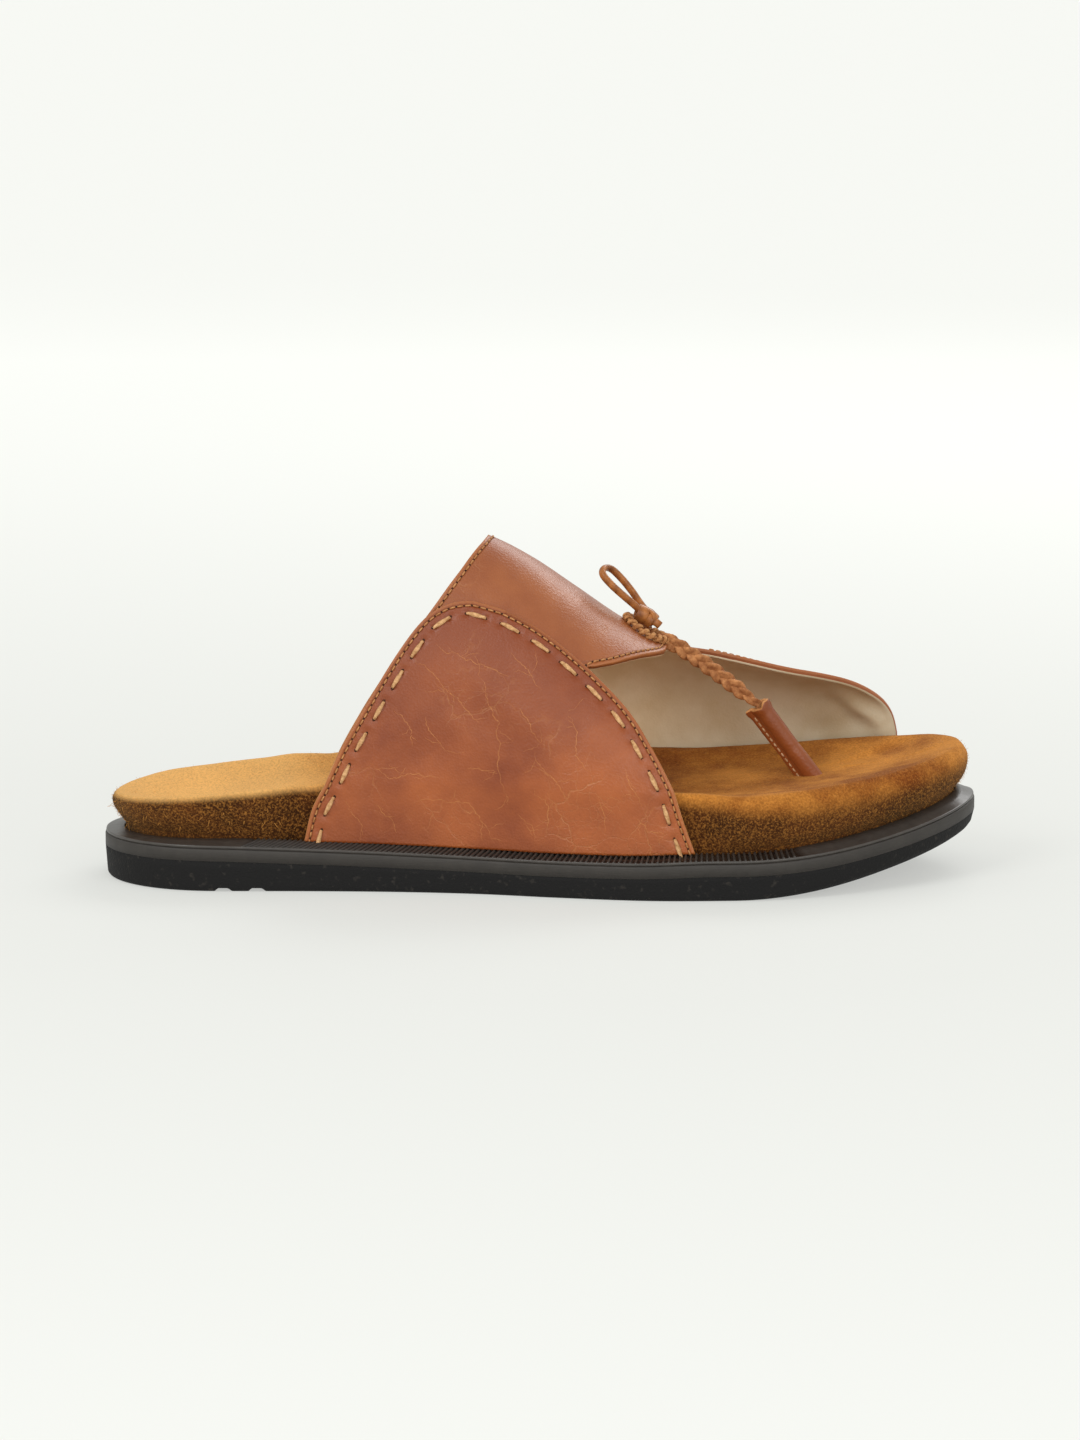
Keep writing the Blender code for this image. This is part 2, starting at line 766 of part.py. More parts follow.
def knot_centre():
    return upper_point(RING_SHARE, 0.5) + Vector((0, 0, KNOT_LIFT))


def build_knot():
    """The lace's overhand knot, sitting in the ring."""
    bm = bmesh.new()
    made = bmesh.ops.create_icosphere(bm, subdivisions=2, radius=0.5)["verts"]
    bmesh.ops.scale(bm, vec=(KNOT_LENGTH, KNOT_WIDTH, KNOT_HEIGHT), verts=made)
    knot = new_object("lace_knot", mesh_from("lace_knot", bm), material("lace_leather", (0.39, 0.14, 0.03), 0.5))
    knot.location = knot_centre()
    knot.rotation_euler = (0, KNOT_TILT, 0)


def build_loop():
    """The loop of lace that stands out of the knot."""
    curve = bpy.data.curves.new("lace_loop", "CURVE")
    curve.dimensions = "3D"
    curve.bevel_depth = LACE_DIAMETER / 2
    curve.bevel_resolution = 2
    curve.use_fill_caps = True
    path = smooth_path([knot_centre() + Vector(offset) for offset in LOOP_PATH], 2)
    spline = curve.splines.new("POLY")
    spline.points.add(len(path) - 1)
    for point, place in zip(spline.points, path):
        point.co = (*place, 1)
    loop = bpy.data.objects.new("lace_loop", curve)
    SANDAL.objects.link(loop)
    curve.materials.append(material("loop_leather", (0.39, 0.14, 0.03), 0.5))


for old in list(bpy.data.objects):
    bpy.data.objects.remove(old)
SANDAL = bpy.data.collections.new("flat_sandal")
CUTTERS = bpy.data.collections.new("cutters")
bpy.context.scene.collection.children.link(SANDAL)
bpy.context.scene.collection.children.link(CUTTERS)
build_outsole()
build_midsole()
build_welt()
build_footbed()
build_upper()
build_side_panel()
build_toe_post()
build_thong()
build_lace_ring()
build_knot()
build_loop()
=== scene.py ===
import math

import bmesh
import bpy
import numpy as np
from mathutils import Euler, Matrix, Vector, kdtree, noise
from mathutils.bvhtree import BVHTree


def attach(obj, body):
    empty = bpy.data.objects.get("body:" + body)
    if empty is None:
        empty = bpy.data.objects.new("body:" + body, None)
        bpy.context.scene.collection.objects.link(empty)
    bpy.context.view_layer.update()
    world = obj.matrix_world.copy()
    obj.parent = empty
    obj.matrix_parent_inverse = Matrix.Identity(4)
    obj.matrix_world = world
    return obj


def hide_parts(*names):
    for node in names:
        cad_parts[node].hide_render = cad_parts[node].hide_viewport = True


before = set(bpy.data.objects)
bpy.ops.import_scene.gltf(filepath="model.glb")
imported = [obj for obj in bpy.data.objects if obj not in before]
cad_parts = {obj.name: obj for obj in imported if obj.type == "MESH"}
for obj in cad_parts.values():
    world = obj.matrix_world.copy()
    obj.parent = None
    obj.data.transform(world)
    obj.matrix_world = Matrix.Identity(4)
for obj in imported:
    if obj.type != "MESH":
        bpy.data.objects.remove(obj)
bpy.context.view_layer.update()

# The studio: a pale seamless sheet under and behind the shoe, one broad soft light above and
# behind it, three smaller ones round its front, and a camera far off at the photo's low angle.
CAMERA_DISTANCE = 1.6
CAMERA_ELEVATION = math.radians(9.0)
CAMERA_AIM = Vector((-0.0005, 0.0, 0.0502))
FRAME_WIDTH = 1080
FOCAL_PIXELS = 4930
SENSOR = 36.0
SHEET_HALF = 60.0
GLOW_START = 0.2  # metres from the shoe's middle
GLOW_END = 2.0
GLOW_NEAR = 0.49
GLOW_FAR = 0.73
SKY_STRENGTH = 0.74
LIGHT_AIM = Vector((0, 0, 0.05))

bpy.context.scene.view_settings.view_transform = "Standard"


def linear(colour):
    """An sRGB hex colour as linear red, green, blue and alpha."""
    values = [int(colour[i : i + 2], 16) / 255 for i in (1, 3, 5)]
    return (*[v / 12.92 if v <= 0.04045 else ((v + 0.055) / 1.055) ** 2.4 for v in values], 1.0)


def add_node(tree, kind, inputs=(), **settings):
    """Adds one node with its settings, and links or sets each named or numbered input."""
    made = tree.nodes.new(kind)
    for name, value in settings.items():
        setattr(made, name, value)
    for name, value in dict(inputs).items():
        if isinstance(value, bpy.types.NodeSocket):
            tree.links.new(value, made.inputs[name])
        else:
            made.inputs[name].default_value = value
    return made


def new_finish(name, **sockets):
    """A Principled material. Socket names are written with underscores."""
    made = bpy.data.materials.new(name)
    made.use_nodes = True
    shader = made.node_tree.nodes["Principled BSDF"]
    for socket, value in sockets.items():
        shader.inputs[socket.replace("_", " ")].default_value = value
    return made, made.node_tree, shader


def grid_faces(rows, columns, wrap_rows=False, wrap_columns=False, first=0):
    """Quads over a grid of vertices that starts at vertex number first."""
    i = np.arange(rows if wrap_rows else rows - 1)
    j = np.arange(columns if wrap_columns else columns - 1)
    i, j = np.meshgrid(i, j, indexing="ij")
    up, side = (i + 1) % rows, (j + 1) % columns
    quads = np.stack([i * columns + j, i * columns + side, up * columns + side, up * columns + j], -1)
    return quads.reshape(-1, 4) + first


def new_piece(name, points, faces, *finishes):
    """One smooth-shaded mesh object at the origin."""
    mesh = bpy.data.meshes.new(name)
    mesh.from_pydata(np.asarray(points).reshape(-1, 3).tolist(), [], [tuple(map(int, f)) for f in faces])
    for finish in finishes:
        mesh.materials.append(finish)
    mesh.shade_smooth()
    mesh.update()
    piece = bpy.data.objects.new(name, mesh)
    bpy.context.scene.collection.objects.link(piece)
    return piece


# The paper is matt and almost white, and it glows with painted light that grows stronger away from
# the shoe, so it fades to white all round and the shoe's shadow on it stays pale.
sheet_finish, tree, shader = new_finish(
    "matt_paper_sheet",
    Base_Color=linear("#959693"),
    Emission_Color=linear("#fafbf7"),
    Roughness=0.9,
    Specular_IOR_Level=0.1,
)
place = add_node(tree, "ShaderNodeTexCoord").outputs["Object"]
from_shoe = add_node(tree, "ShaderNodeVectorMath", {0: place}, operation="LENGTH").outputs["Value"]
# Painted glow: the sheet's emission rises from near the shoe to far from it.
painted_glow = add_node(
    tree,
    "ShaderNodeMapRange",
    {
        "Value": from_shoe,
        "From Min": GLOW_START,
        "From Max": GLOW_END,
        "To Min": GLOW_NEAR,
        "To Max": GLOW_FAR,
    },
)
tree.links.new(painted_glow.outputs["Result"], shader.inputs["Emission Strength"])
sheet_points = [[(x, y, 0.0) for y in (-SHEET_HALF, SHEET_HALF)] for x in (-SHEET_HALF, SHEET_HALF)]
sheet = new_piece("paper_sheet", sheet_points, grid_faces(2, 2)[:, ::-1], sheet_finish)

camera_data = bpy.data.cameras.new("camera")
camera_data.sensor_fit = "HORIZONTAL"
camera_data.sensor_width = SENSOR
camera_data.lens = FOCAL_PIXELS / FRAME_WIDTH * SENSOR
camera = bpy.data.objects.new("camera", camera_data)
bpy.context.scene.collection.objects.link(camera)
away = Vector((0, -math.cos(CAMERA_ELEVATION), math.sin(CAMERA_ELEVATION)))
camera.location = CAMERA_AIM + away * CAMERA_DISTANCE
camera.rotation_euler = (-away).to_track_quat("-Z", "Y").to_euler()
bpy.context.scene.camera = camera

world = bpy.data.worlds.new("studio")
world.use_nodes = True
world.node_tree.nodes["Background"].inputs["Color"].default_value = linear("#fbfcf8")
world.node_tree.nodes["Background"].inputs["Strength"].default_value = SKY_STRENGTH
bpy.context.scene.world = world


def soft_light(name, place, width, height, watts):
    """A rectangular light that faces the shoe."""
    data = bpy.data.lights.new(name, "AREA")
    data.shape = "RECTANGLE"
    data.size, data.size_y = width, height
    data.energy = watts
    lamp = bpy.data.objects.new(name, data)
    bpy.context.scene.collection.objects.link(lamp)
    lamp.location = place
    lamp.rotation_euler = (LIGHT_AIM - Vector(place)).to_track_quat("-Z", "Y").to_euler()


soft_light("back_light", (0.70, 1.30, 1.25), 1.3, 0.8, 14.0)
soft_light("right_light", (1.1, -1.5, 0.9), 0.8, 0.8, 6.0)
soft_light("front_light", (0.20, -1.80, 0.65), 0.9, 0.6, 6.0)
soft_light("left_light", (-1.0, -1.1, 1.2), 0.8, 0.8, 11.0)

# The outsole: black foamed rubber moulded in one piece. Its lower edge is rounded, its toe
# springs up from the floor, and shallow grooves cross the heel and the forefoot.
SOLE_LENGTH = 0.284
BALL_WIDTH = 0.104
MIDDLE_SHIFT = 0.0013  # sideways place of the outline's middle
HEEL_SHARE = 0.036 / SOLE_LENGTH
TOE_START = 0.72
TOE_SPRING = 0.0126
SPRING_POWER = 1.8
TOE_ROUNDNESS = 2.05
EDGE = 0.0012  # radius of the lower edge
TOE_ROLL = 0.0030
FIT_GAP = 0.0003  # the glue line between two pieces
GROOVE_DEPTH = 0.0012
GROOVE_WIDTH = 0.0045
GROOVE_STEP = 0.0108
GROOVE_WALL_OUT = 0.0005
GROOVE_WALL_IN = 0.0004
GROOVE_END = 0.001
HEEL_GROOVE = -SOLE_LENGTH / 2 + 0.142 * SOLE_LENGTH
FOREFOOT_GROOVE = 0.0
FOREFOOT_GROOVE_HALF = 0.031
FULL_WIDTH = 1.0
OUTLINE = (  # share of the length, centre line and half width as shares of the ball width
    (0.00, 0.000, 0.346),
    (0.12, 0.000, 0.346),
    (0.30, -0.020, 0.335),
    (0.42, -0.035, 0.355),
    (0.52, -0.030, 0.425),
    (0.62, -0.015, 0.490),
    (0.72, -0.012, 0.490),
    (0.80, 0.014, 0.490),
    (0.90, 0.078, 0.490),
    (1.00, 0.130, 0.490),
)
OUTSOLE = (  # share of the length, thickness
    (0.00, 0.0102),
    (0.12, 0.0100),
    (0.24, 0.0090),
    (0.45, 0.0072),
    (0.60, 0.0072),
    (0.69, 0.0080),
    (0.84, 0.0076),
    (1.00, 0.0070),
)


def read(table, share, column=1):
    """A column of a table at each share, along a smooth curve through its rows."""
    x = np.array([row[0] for row in table])
    v = np.array([row[column] for row in table])
    slope = np.empty(len(x))
    slope[1:-1] = (v[2:] - v[:-2]) / (x[2:] - x[:-2])
    slope[0] = (v[1] - v[0]) / (x[1] - x[0])
    slope[-1] = (v[-1] - v[-2]) / (x[-1] - x[-2])
    share = np.clip(share, x[0], x[-1])
    k = np.clip(np.searchsorted(x, share, side="right") - 1, 0, len(x) - 2)
    width = x[k + 1] - x[k]
    t = (share - x[k]) / width
    start = v[k] * (2 * t**3 - 3 * t**2 + 1) + slope[k] * width * (t**3 - 2 * t**2 + t)
    return start + v[k + 1] * (3 * t**2 - 2 * t**3) + slope[k + 1] * width * (t**3 - t**2)


def soft_step(low, high, value):
    """0 below low and 1 above high, or the other way round when low is the larger, with soft ends."""
    t = np.clip((np.asarray(value, float) - low) / (high - low), 0, 1)
    return t * t * (3 - 2 * t)


def plan(share, side, inset):
    """x and y of the sole's outline, drawn in by inset. side is -1 lateral and 1 medial."""
    x = -SOLE_LENGTH / 2 + inset + share * (SOLE_LENGTH - 2 * inset)
    heel = np.sqrt(np.clip(1 - (1 - np.minimum(share, HEEL_SHARE) / HEEL_SHARE) ** 2, 0, 1))
    t = np.clip((share - TOE_START) / (1 - TOE_START), 0, 1)
    toe = (1 - t**TOE_ROUNDNESS) ** (1 / TOE_ROUNDNESS)
    half = (read(OUTLINE, share, 2) * BALL_WIDTH - inset) * heel * toe
    return x, read(OUTLINE, share, 1) * BALL_WIDTH + MIDDLE_SHIFT + side * half


def spring(share):
    """How far the toe lifts the sole off the floor."""
    return TOE_SPRING * np.clip((share - TOE_START) / (1 - TOE_START), 0, 1) ** SPRING_POWER


def outsole_top(share):
    """Height of the outsole's top, which carries the midsole."""
    return spring(share) + read(OUTSOLE, share)


HEEL_STATIONS = HEEL_SHARE * (1 - np.cos(np.linspace(0, math.pi / 2, 30, endpoint=False)))
SIDE_STATIONS = np.linspace(HEEL_SHARE, TOE_START, 170, endpoint=False)
TOE_STATIONS = TOE_START + (1 - TOE_START) * np.sin(np.linspace(0, math.pi / 2, 44))
STATIONS = np.concatenate([HEEL_STATIONS, SIDE_STATIONS, TOE_STATIONS])
ROUND_SHARE = np.concatenate([STATIONS, STATIONS[-2:0:-1]])
ROUND_SIDE = np.concatenate([-np.ones(len(STATIONS)), np.ones(len(STATIONS) - 2)])


def ring(inset, height):
    """Points once round the outline, from the heel along the lateral side and back."""
    x, y = plan(ROUND_SHARE, ROUND_SIDE, inset)
    return np.stack([x, y, np.broadcast_to(height, x.shape)], -1)


def across(first_ring, columns):
    """Rows of points straight across a ring, from its lateral to its medial side."""
    last = len(STATIONS) - 1
    lateral = first_ring[: last + 1]
    medial = np.concatenate([first_ring[:1], first_ring[:last:-1], first_ring[last : last + 1]])
    share = np.linspace(0, 1, columns)[None, :, None]
    return lateral[:, None] * (1 - share) + medial[:, None] * share


def grooves(points):
    """How far the tread lifts the sole's underside at each point."""
    x, y = points[..., 0], points[..., 1]
    lift = np.zeros(x.shape)
    top, foot = GROOVE_WIDTH / 2 + GROOVE_WALL_OUT, GROOVE_WIDTH / 2 - GROOVE_WALL_IN
    for first, count, reach in ((HEEL_GROOVE, 2, FULL_WIDTH), (FOREFOOT_GROOVE, 5, FOREFOOT_GROOVE_HALF)):
        for i in range(count):
            along = soft_step(top, foot, abs(x - first - i * GROOVE_STEP))
            lift = np.maximum(lift, GROOVE_DEPTH * along * soft_step(reach, reach - GROOVE_END, abs(y)))
    return lift


def grid_piece(name, finish, *grids):
    """One piece from grids of points, each given with whether its rows and its columns close."""
    points, faces = [], []
    for grid, close_rows, close_columns in grids:
        first = sum(len(block) for block in points)
        faces.append(grid_faces(*grid.shape[:2], close_rows, close_columns, first))
        points.append(grid.reshape(-1, 3))
    return new_piece(name, np.concatenate(points), np.concatenate(faces), finish)


def merge_close(piece, distance=1e-6):
    """Joins vertices that lie on each other and turns all faces outwards."""
    bm = bmesh.new()
    bm.from_mesh(piece.data)
    bmesh.ops.remove_doubles(bm, verts=bm.verts, dist=distance)
    bmesh.ops.dissolve_degenerate(bm, edges=bm.edges, dist=distance)
    bmesh.ops.recalc_face_normals(bm, faces=bm.faces)
    bm.to_mesh(piece.data)
    bm.free()


def pattern_scale(size_mm):
    """The scale of a noise or cell pattern whose spots are this many millimetres wide."""
    return 1000.0 / size_mm


# Foamed rubber as it leaves the mould: dull black with a fine pitted skin and a little pale dust.
# The foam's cells are about 0.3 mm wide. They are drawn 0.77 mm wide, so that they show.
black_foam, tree, shader = new_finish("moulded_black_foam_rubber", Roughness=0.85, Specular_IOR_Level=0.35)
place = add_node(tree, "ShaderNodeTexCoord").outputs["Object"]
cells = add_node(tree, "ShaderNodeTexVoronoi", {"Vector": place, "Scale": pattern_scale(0.77)})
specks = add_node(tree, "ShaderNodeTexNoise", {"Vector": place, "Scale": pattern_scale(1.923), "Detail": 3.0})
dust = add_node(
    tree, "ShaderNodeMapRange", {"Value": specks.outputs["Fac"], "From Min": 0.60, "From Max": 0.74}
)
tint = add_node(
    tree,
    "ShaderNodeMix",
    {0: dust.outputs["Result"], 6: linear("#0e0d0d"), 7: linear("#2c2824")},
    data_type="RGBA",
)
pits = add_node(
    tree, "ShaderNodeBump", {"Height": cells.outputs["Distance"], "Strength": 0.5, "Distance": 0.0003}
)
tree.links.new(tint.outputs[2], shader.inputs["Base Color"])
tree.links.new(pits.outputs["Normal"], shader.inputs["Normal"])

roll = soft_step(TOE_START, 1.0, ROUND_SHARE) * TOE_ROLL
outsole_rings = []
for quarter in np.linspace(0, math.pi / 2, 7):
    rounded = ring(
        0.5 * EDGE + (1.5 * EDGE + 2 * roll) * (1 - math.sin(quarter)),
        spring(ROUND_SHARE) + (1.4 * EDGE + roll) * (1 - math.cos(quarter)),
    )
    rounded[:, 2] = np.maximum(rounded[:, 2], grooves(rounded))
    outsole_rings.append(rounded)
low_side = outsole_rings[-1]
for share in (0.25, 0.5, 0.75, 1.0):
    top = ring(0.5 * EDGE * (1 - share), low_side[:, 2] * (1 - share) + outsole_top(ROUND_SHARE) * share)
    outsole_rings.append(top)
under = across(outsole_rings[0], 60)
under[..., 2] = np.maximum(under[..., 2], grooves(under))
over = across(outsole_rings[-1], 3)
outsole_side = (np.array(outsole_rings), False, True)
outsole = grid_piece("outsole_foam", black_foam, outsole_side, (under, False, False), (over, False, False))
merge_close(outsole)
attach(outsole, "root")
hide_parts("outsole")

# The midsole: a thin grey rubber layer cemented over the outsole. Its side is buffed flush with
# the outsole and its top edge is softly rounded.
MIDSOLE = 0.0037
LIP_SET_BACK = 0.0004
LIP_ROUND = (  # set back and drop of the rounded top edge
    (0.0, 0.0006),
    (0.00012, 0.00025),
    (LIP_SET_BACK, 0.0),
)
CEMENT_LINE = 0.00005


def midsole_top(share):
    """Height of the midsole's top, which carries the welt."""
    return outsole_top(share) + FIT_GAP + MIDSOLE


# Solid rubber, buffed along its side on a wheel: a soft grey with faint clouds and fine lines that
# run round the shoe. The wheel's grit is about 0.1 mm. Its lines are drawn 0.385 mm apart.
grey_rubber, tree, shader = new_finish("buffed_grey_rubber", Roughness=0.62)
place = add_node(tree, "ShaderNodeTexCoord").outputs["Object"]
cloud = add_node(
    tree,
    "ShaderNodeTexNoise",
    {"Vector": place, "Scale": pattern_scale(6.25), "Detail": 6.0, "Roughness": 0.7},
)
buffed = add_node(
    tree,
    "ShaderNodeMapping",
    {"Vector": place, "Scale": (pattern_scale(4.0), pattern_scale(4.0), pattern_scale(0.385))},
)
lines = add_node(
    tree, "ShaderNodeTexNoise", {"Vector": buffed.outputs["Vector"], "Scale": 1.0, "Detail": 3.0}
)
tint = add_node(
    tree,
    "ShaderNodeMix",
    {0: cloud.outputs["Fac"], 6: linear("#24201d"), 7: linear("#3a3530")},
    data_type="RGBA",
)
rough = add_node(
    tree, "ShaderNodeBump", {"Height": lines.outputs["Fac"], "Strength": 0.35, "Distance": 0.0003}
)
tree.links.new(tint.outputs[2], shader.inputs["Base Color"])
tree.links.new(rough.outputs["Normal"], shader.inputs["Normal"])

midsole_rings = [ring(0.0, outsole_top(ROUND_SHARE) + CEMENT_LINE)]
for set_back, drop in LIP_ROUND:
    midsole_rings.append(ring(set_back, midsole_top(ROUND_SHARE) - drop))
midsole_caps = [(across(midsole_rings[end], 3), False, False) for end in (0, -1)]
midsole = grid_piece("midsole_layer", grey_rubber, (np.array(midsole_rings), False, True), *midsole_caps)
merge_close(midsole)
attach(midsole, "root")
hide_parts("midsole")

# The welt: a dark rubber strip round the footbed that slopes up inwards. Slanted moulded ribs
# cross it along both sides, and it is smooth round the heel and the toe.
WELT_WIDTH = 0.0063
WELT_LIP = 0.0008
WELT_RISE = 0.0017
HEEL_RISE_SHARE = 0.3  # the welt is flatter round the heel
WELT_ROUND = 0.0003
WELT_BEAD = 0.0001
LIP_RINGS = 5  # rings of the welt below its ribbed slope
RIB_PITCH = 0.00175
RIB_DEPTH = 0.00055
RIB_SLANT = 0.0011
RIB_FIRST = 0.165
RIB_LAST = 0.79
RIB_FADE = 0.006
RIB_HALF_WIDTH = 0.00048
RIB_END_HALF_WIDTH = 0.0003
RIB_HALF_HEIGHT = 0.00083
RIB_SUNK = 0.0006
RIB_CREST_HIGHLIGHT = 0.7


def welt_rise(share):
    """How far the welt slopes up inwards. It is flatter round the heel."""
    return WELT_RISE * (HEEL_RISE_SHARE + (1 - HEEL_RISE_SHARE) * soft_step(0.0, 0.2, share))


def ribbed(share):
    """1 along the ribbed sides and 0 round the smooth heel and toe."""
    return soft_step(RIB_FIRST - RIB_FADE, RIB_FIRST, share) * soft_step(RIB_LAST + RIB_FADE, RIB_LAST, share)


def copies_along(name, pattern, places, size, finish):
    """Geometry Nodes set a copy of pattern at each place, turned and scaled, as one plain mesh."""
    mesh = bpy.data.meshes.new(name)
    mesh.from_pydata([tuple(spot) for spot, _, _, _ in places], [], [])
    turns, scales = [], []
    for _, along, up, scale in places:
        forward = Vector(along).normalized()
        sideways = Vector(up).cross(forward).normalized()
        upright = forward.cross(sideways)
        turns += Matrix((forward, sideways, upright)).transposed().to_euler()[:]
        scales += [scale] * 3 if isinstance(scale, float) else list(scale)
    for label, values in (("turn", turns), ("size", scales)):
        mesh.attributes.new(label, "FLOAT_VECTOR", "POINT").data.foreach_set("vector", values)
    holder = bpy.data.objects.new(name, mesh)
    bpy.context.scene.collection.objects.link(holder)
    group = bpy.data.node_groups.new(name, "GeometryNodeTree")
    group.interface.new_socket("Geometry", in_out="INPUT", socket_type="NodeSocketGeometry")
    group.interface.new_socket("Geometry", in_out="OUTPUT", socket_type="NodeSocketGeometry")
    sockets = {}
    for label, kind in (("Pattern", "Object"), ("Finish", "Material"), ("Size", "Vector")):
        sockets[label] = group.interface.new_socket(label, in_out="INPUT", socket_type="NodeSocket" + kind)
    start = add_node(group, "NodeGroupInput")
    turned = add_node(group, "GeometryNodeInputNamedAttribute", {"Name": "turn"}, data_type="FLOAT_VECTOR")
    sized = add_node(group, "GeometryNodeInputNamedAttribute", {"Name": "size"}, data_type="FLOAT_VECTOR")
    seen = add_node(group, "GeometryNodeObjectInfo", {"Object": start.outputs["Pattern"]})
    grown = add_node(
        group, "ShaderNodeVectorMath", {0: sized.outputs[0], 1: start.outputs["Size"]}, operation="MULTIPLY"
    )
    placed = add_node(
        group,
        "GeometryNodeInstanceOnPoints",
        {
            "Points": start.outputs["Geometry"],
            "Instance": seen.outputs["Geometry"],
            "Rotation": turned.outputs[0],
            "Scale": grown.outputs[0],
        },
    )
    real = add_node(group, "GeometryNodeRealizeInstances", {"Geometry": placed.outputs["Instances"]})
    done = add_node(
        group,
        "GeometryNodeSetMaterial",
        {"Geometry": real.outputs["Geometry"], "Material": start.outputs["Finish"]},
    )
    add_node(group, "NodeGroupOutput", {"Geometry": done.outputs["Geometry"]})
    modifier = holder.modifiers.new("copies", "NODES")
    modifier.node_group = group
    modifier[sockets["Pattern"].identifier] = pattern
    modifier[sockets["Finish"].identifier] = finish
    modifier[sockets["Size"].identifier] = size
    bpy.context.view_layer.update()
    evaluated = holder.evaluated_get(bpy.context.evaluated_depsgraph_get())
    result = bpy.data.meshes.new_from_object(evaluated)
    for label in ("turn", "size"):
        if label in result.attributes:
            result.attributes.remove(result.attributes[label])
    result.materials.clear()
    result.materials.append(finish)
    result.shade_smooth()
    bpy.data.objects.remove(holder)
    bpy.data.objects.remove(pattern)
    piece = bpy.data.objects.new(name, result)
    bpy.context.scene.collection.objects.link(piece)
    return piece


PLY_TURN = 9.0  # radians that a thread's two plies turn over one stitch


def bar_pattern(name, along, round_steps, profile):
    """A closed bar of unit length along X. profile gives its half width, half height, lift and how
    far its two plies stand out, at each place along it."""
    turns = np.linspace(0, 2 * math.pi, round_steps, endpoint=False)
    points = []
    for t in along:
        half, thick, lift, plies = profile(t)
        bulge = 1 + plies * np.cos(2 * turns + PLY_TURN * t)
        across_bar, up_bar = half * bulge * np.cos(turns), lift + thick * bulge * np.sin(turns)
        points.append(np.stack([np.full(round_steps, t), across_bar, up_bar], -1))
    faces = list(grid_faces(len(along), round_steps, wrap_columns=True))
    last = (len(along) - 1) * round_steps
    faces += [tuple(range(round_steps))[::-1], tuple(range(last, last + round_steps))]
    return new_piece(name, np.array(points), faces)


# Moulded rubber, grey where it is smooth, with the low gloss that the mould gives it. Over the
# ribbed slope it is painted almost black as shade in the hollows, and the rib crests get a painted
# highlight. Its bloom is a cloud of 3.33 mm spots.
shaded_welt_rubber, tree, shader = new_finish("moulded_rubber_shaded_ribs", Roughness=0.33)
place = add_node(tree, "ShaderNodeTexCoord").outputs["Object"]
cloud = add_node(tree, "ShaderNodeTexNoise", {"Vector": place, "Scale": pattern_scale(3.33), "Detail": 5.0})
unshaded_share = add_node(tree, "ShaderNodeAttribute", attribute_name="unshaded_grey_rubber").outputs["Fac"]
hollow_shade_tint = add_node(
    tree,
    "ShaderNodeMix",
    {0: cloud.outputs["Fac"], 6: linear("#15100d"), 7: linear("#2a221e")},
    data_type="RGBA",
)
grey_tint = add_node(
    tree,
    "ShaderNodeMix",
    {0: cloud.outputs["Fac"], 6: linear("#302b28"), 7: linear("#4a4540")},
    data_type="RGBA",
)
tint = add_node(
    tree, "ShaderNodeMix", {0: unshaded_share, 6: hollow_shade_tint.outputs[2], 7: grey_tint.outputs[2]}, data_type="RGBA"
)
pores = add_node(
    tree, "ShaderNodeBump", {"Height": cloud.outputs["Fac"], "Strength": 0.3, "Distance": 0.0003}
)
tree.links.new(tint.outputs[2], shader.inputs["Base Color"])
tree.links.new(pores.outputs["Normal"], shader.inputs["Normal"])


def paint(piece, label, values):
    """Stores one number for each vertex."""
    numbers = np.asarray(values, float).ravel()
    piece.data.attributes.new(label, "FLOAT", "POINT").data.foreach_set("value", numbers)


welt_base = midsole_top(ROUND_SHARE) + FIT_GAP
groove_floor = RIB_DEPTH * ribbed(ROUND_SHARE)
welt_loop = [
    ring(WELT_WIDTH, welt_base),
    ring(LIP_SET_BACK, welt_base - FIT_GAP + CEMENT_LINE),
    ring(LIP_SET_BACK - WELT_BEAD, welt_base + 0.5 * WELT_LIP),
    ring(LIP_SET_BACK, welt_base + WELT_LIP - WELT_BEAD),
    ring(LIP_SET_BACK + WELT_ROUND, welt_base + WELT_LIP),
    ring(LIP_SET_BACK + 2 * WELT_ROUND, welt_base + WELT_LIP - groove_floor / 2),
    ring(WELT_WIDTH * 0.5, welt_base + WELT_LIP + 0.5 * welt_rise(ROUND_SHARE) - 0.75 * groove_floor),
    ring(WELT_WIDTH - WELT_ROUND, welt_base + WELT_LIP + welt_rise(ROUND_SHARE) - groove_floor),
    ring(WELT_WIDTH, welt_base + WELT_LIP + welt_rise(ROUND_SHARE) - groove_floor - 2 * WELT_BEAD),
]
welt = grid_piece("welt_strip", shaded_welt_rubber, (np.array(welt_loop), True, True))
# Painted shade: the ribbed slope is painted dark for its shaded hollows, and the lip and the smooth heel and
# toe keep the grey.
unshaded_part = np.ones((len(welt_loop), len(ROUND_SHARE)))
unshaded_part[LIP_RINGS:] = 1 - ribbed(ROUND_SHARE)
paint(welt, "unshaded_grey_rubber", unshaded_part)
merge_close(welt)
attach(welt, "root")
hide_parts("welt")

rib_places = []
for side in (-1, 1):
    for share in np.arange(RIB_FIRST, RIB_LAST, RIB_PITCH / SOLE_LENGTH):
        slant = RIB_SLANT / SOLE_LENGTH
        outer = plan(share - slant, side, LIP_SET_BACK + WELT_ROUND)
        inner = plan(share + slant, side, WELT_WIDTH - WELT_ROUND)
        low = midsole_top(share) + FIT_GAP + WELT_LIP - RIB_SUNK
        start = Vector((*outer, low))
        end = Vector((*inner, low + welt_rise(share)))
        rib_places.append(((start + end) / 2, end - start, (0, 0, 1), ((end - start).length, 1.0, 1.0)))


def rib_profile(t):
    """A straight rib with narrower ends."""
    return RIB_HALF_WIDTH if abs(t) < 0.48 else RIB_END_HALF_WIDTH, RIB_HALF_HEIGHT, 0, 0


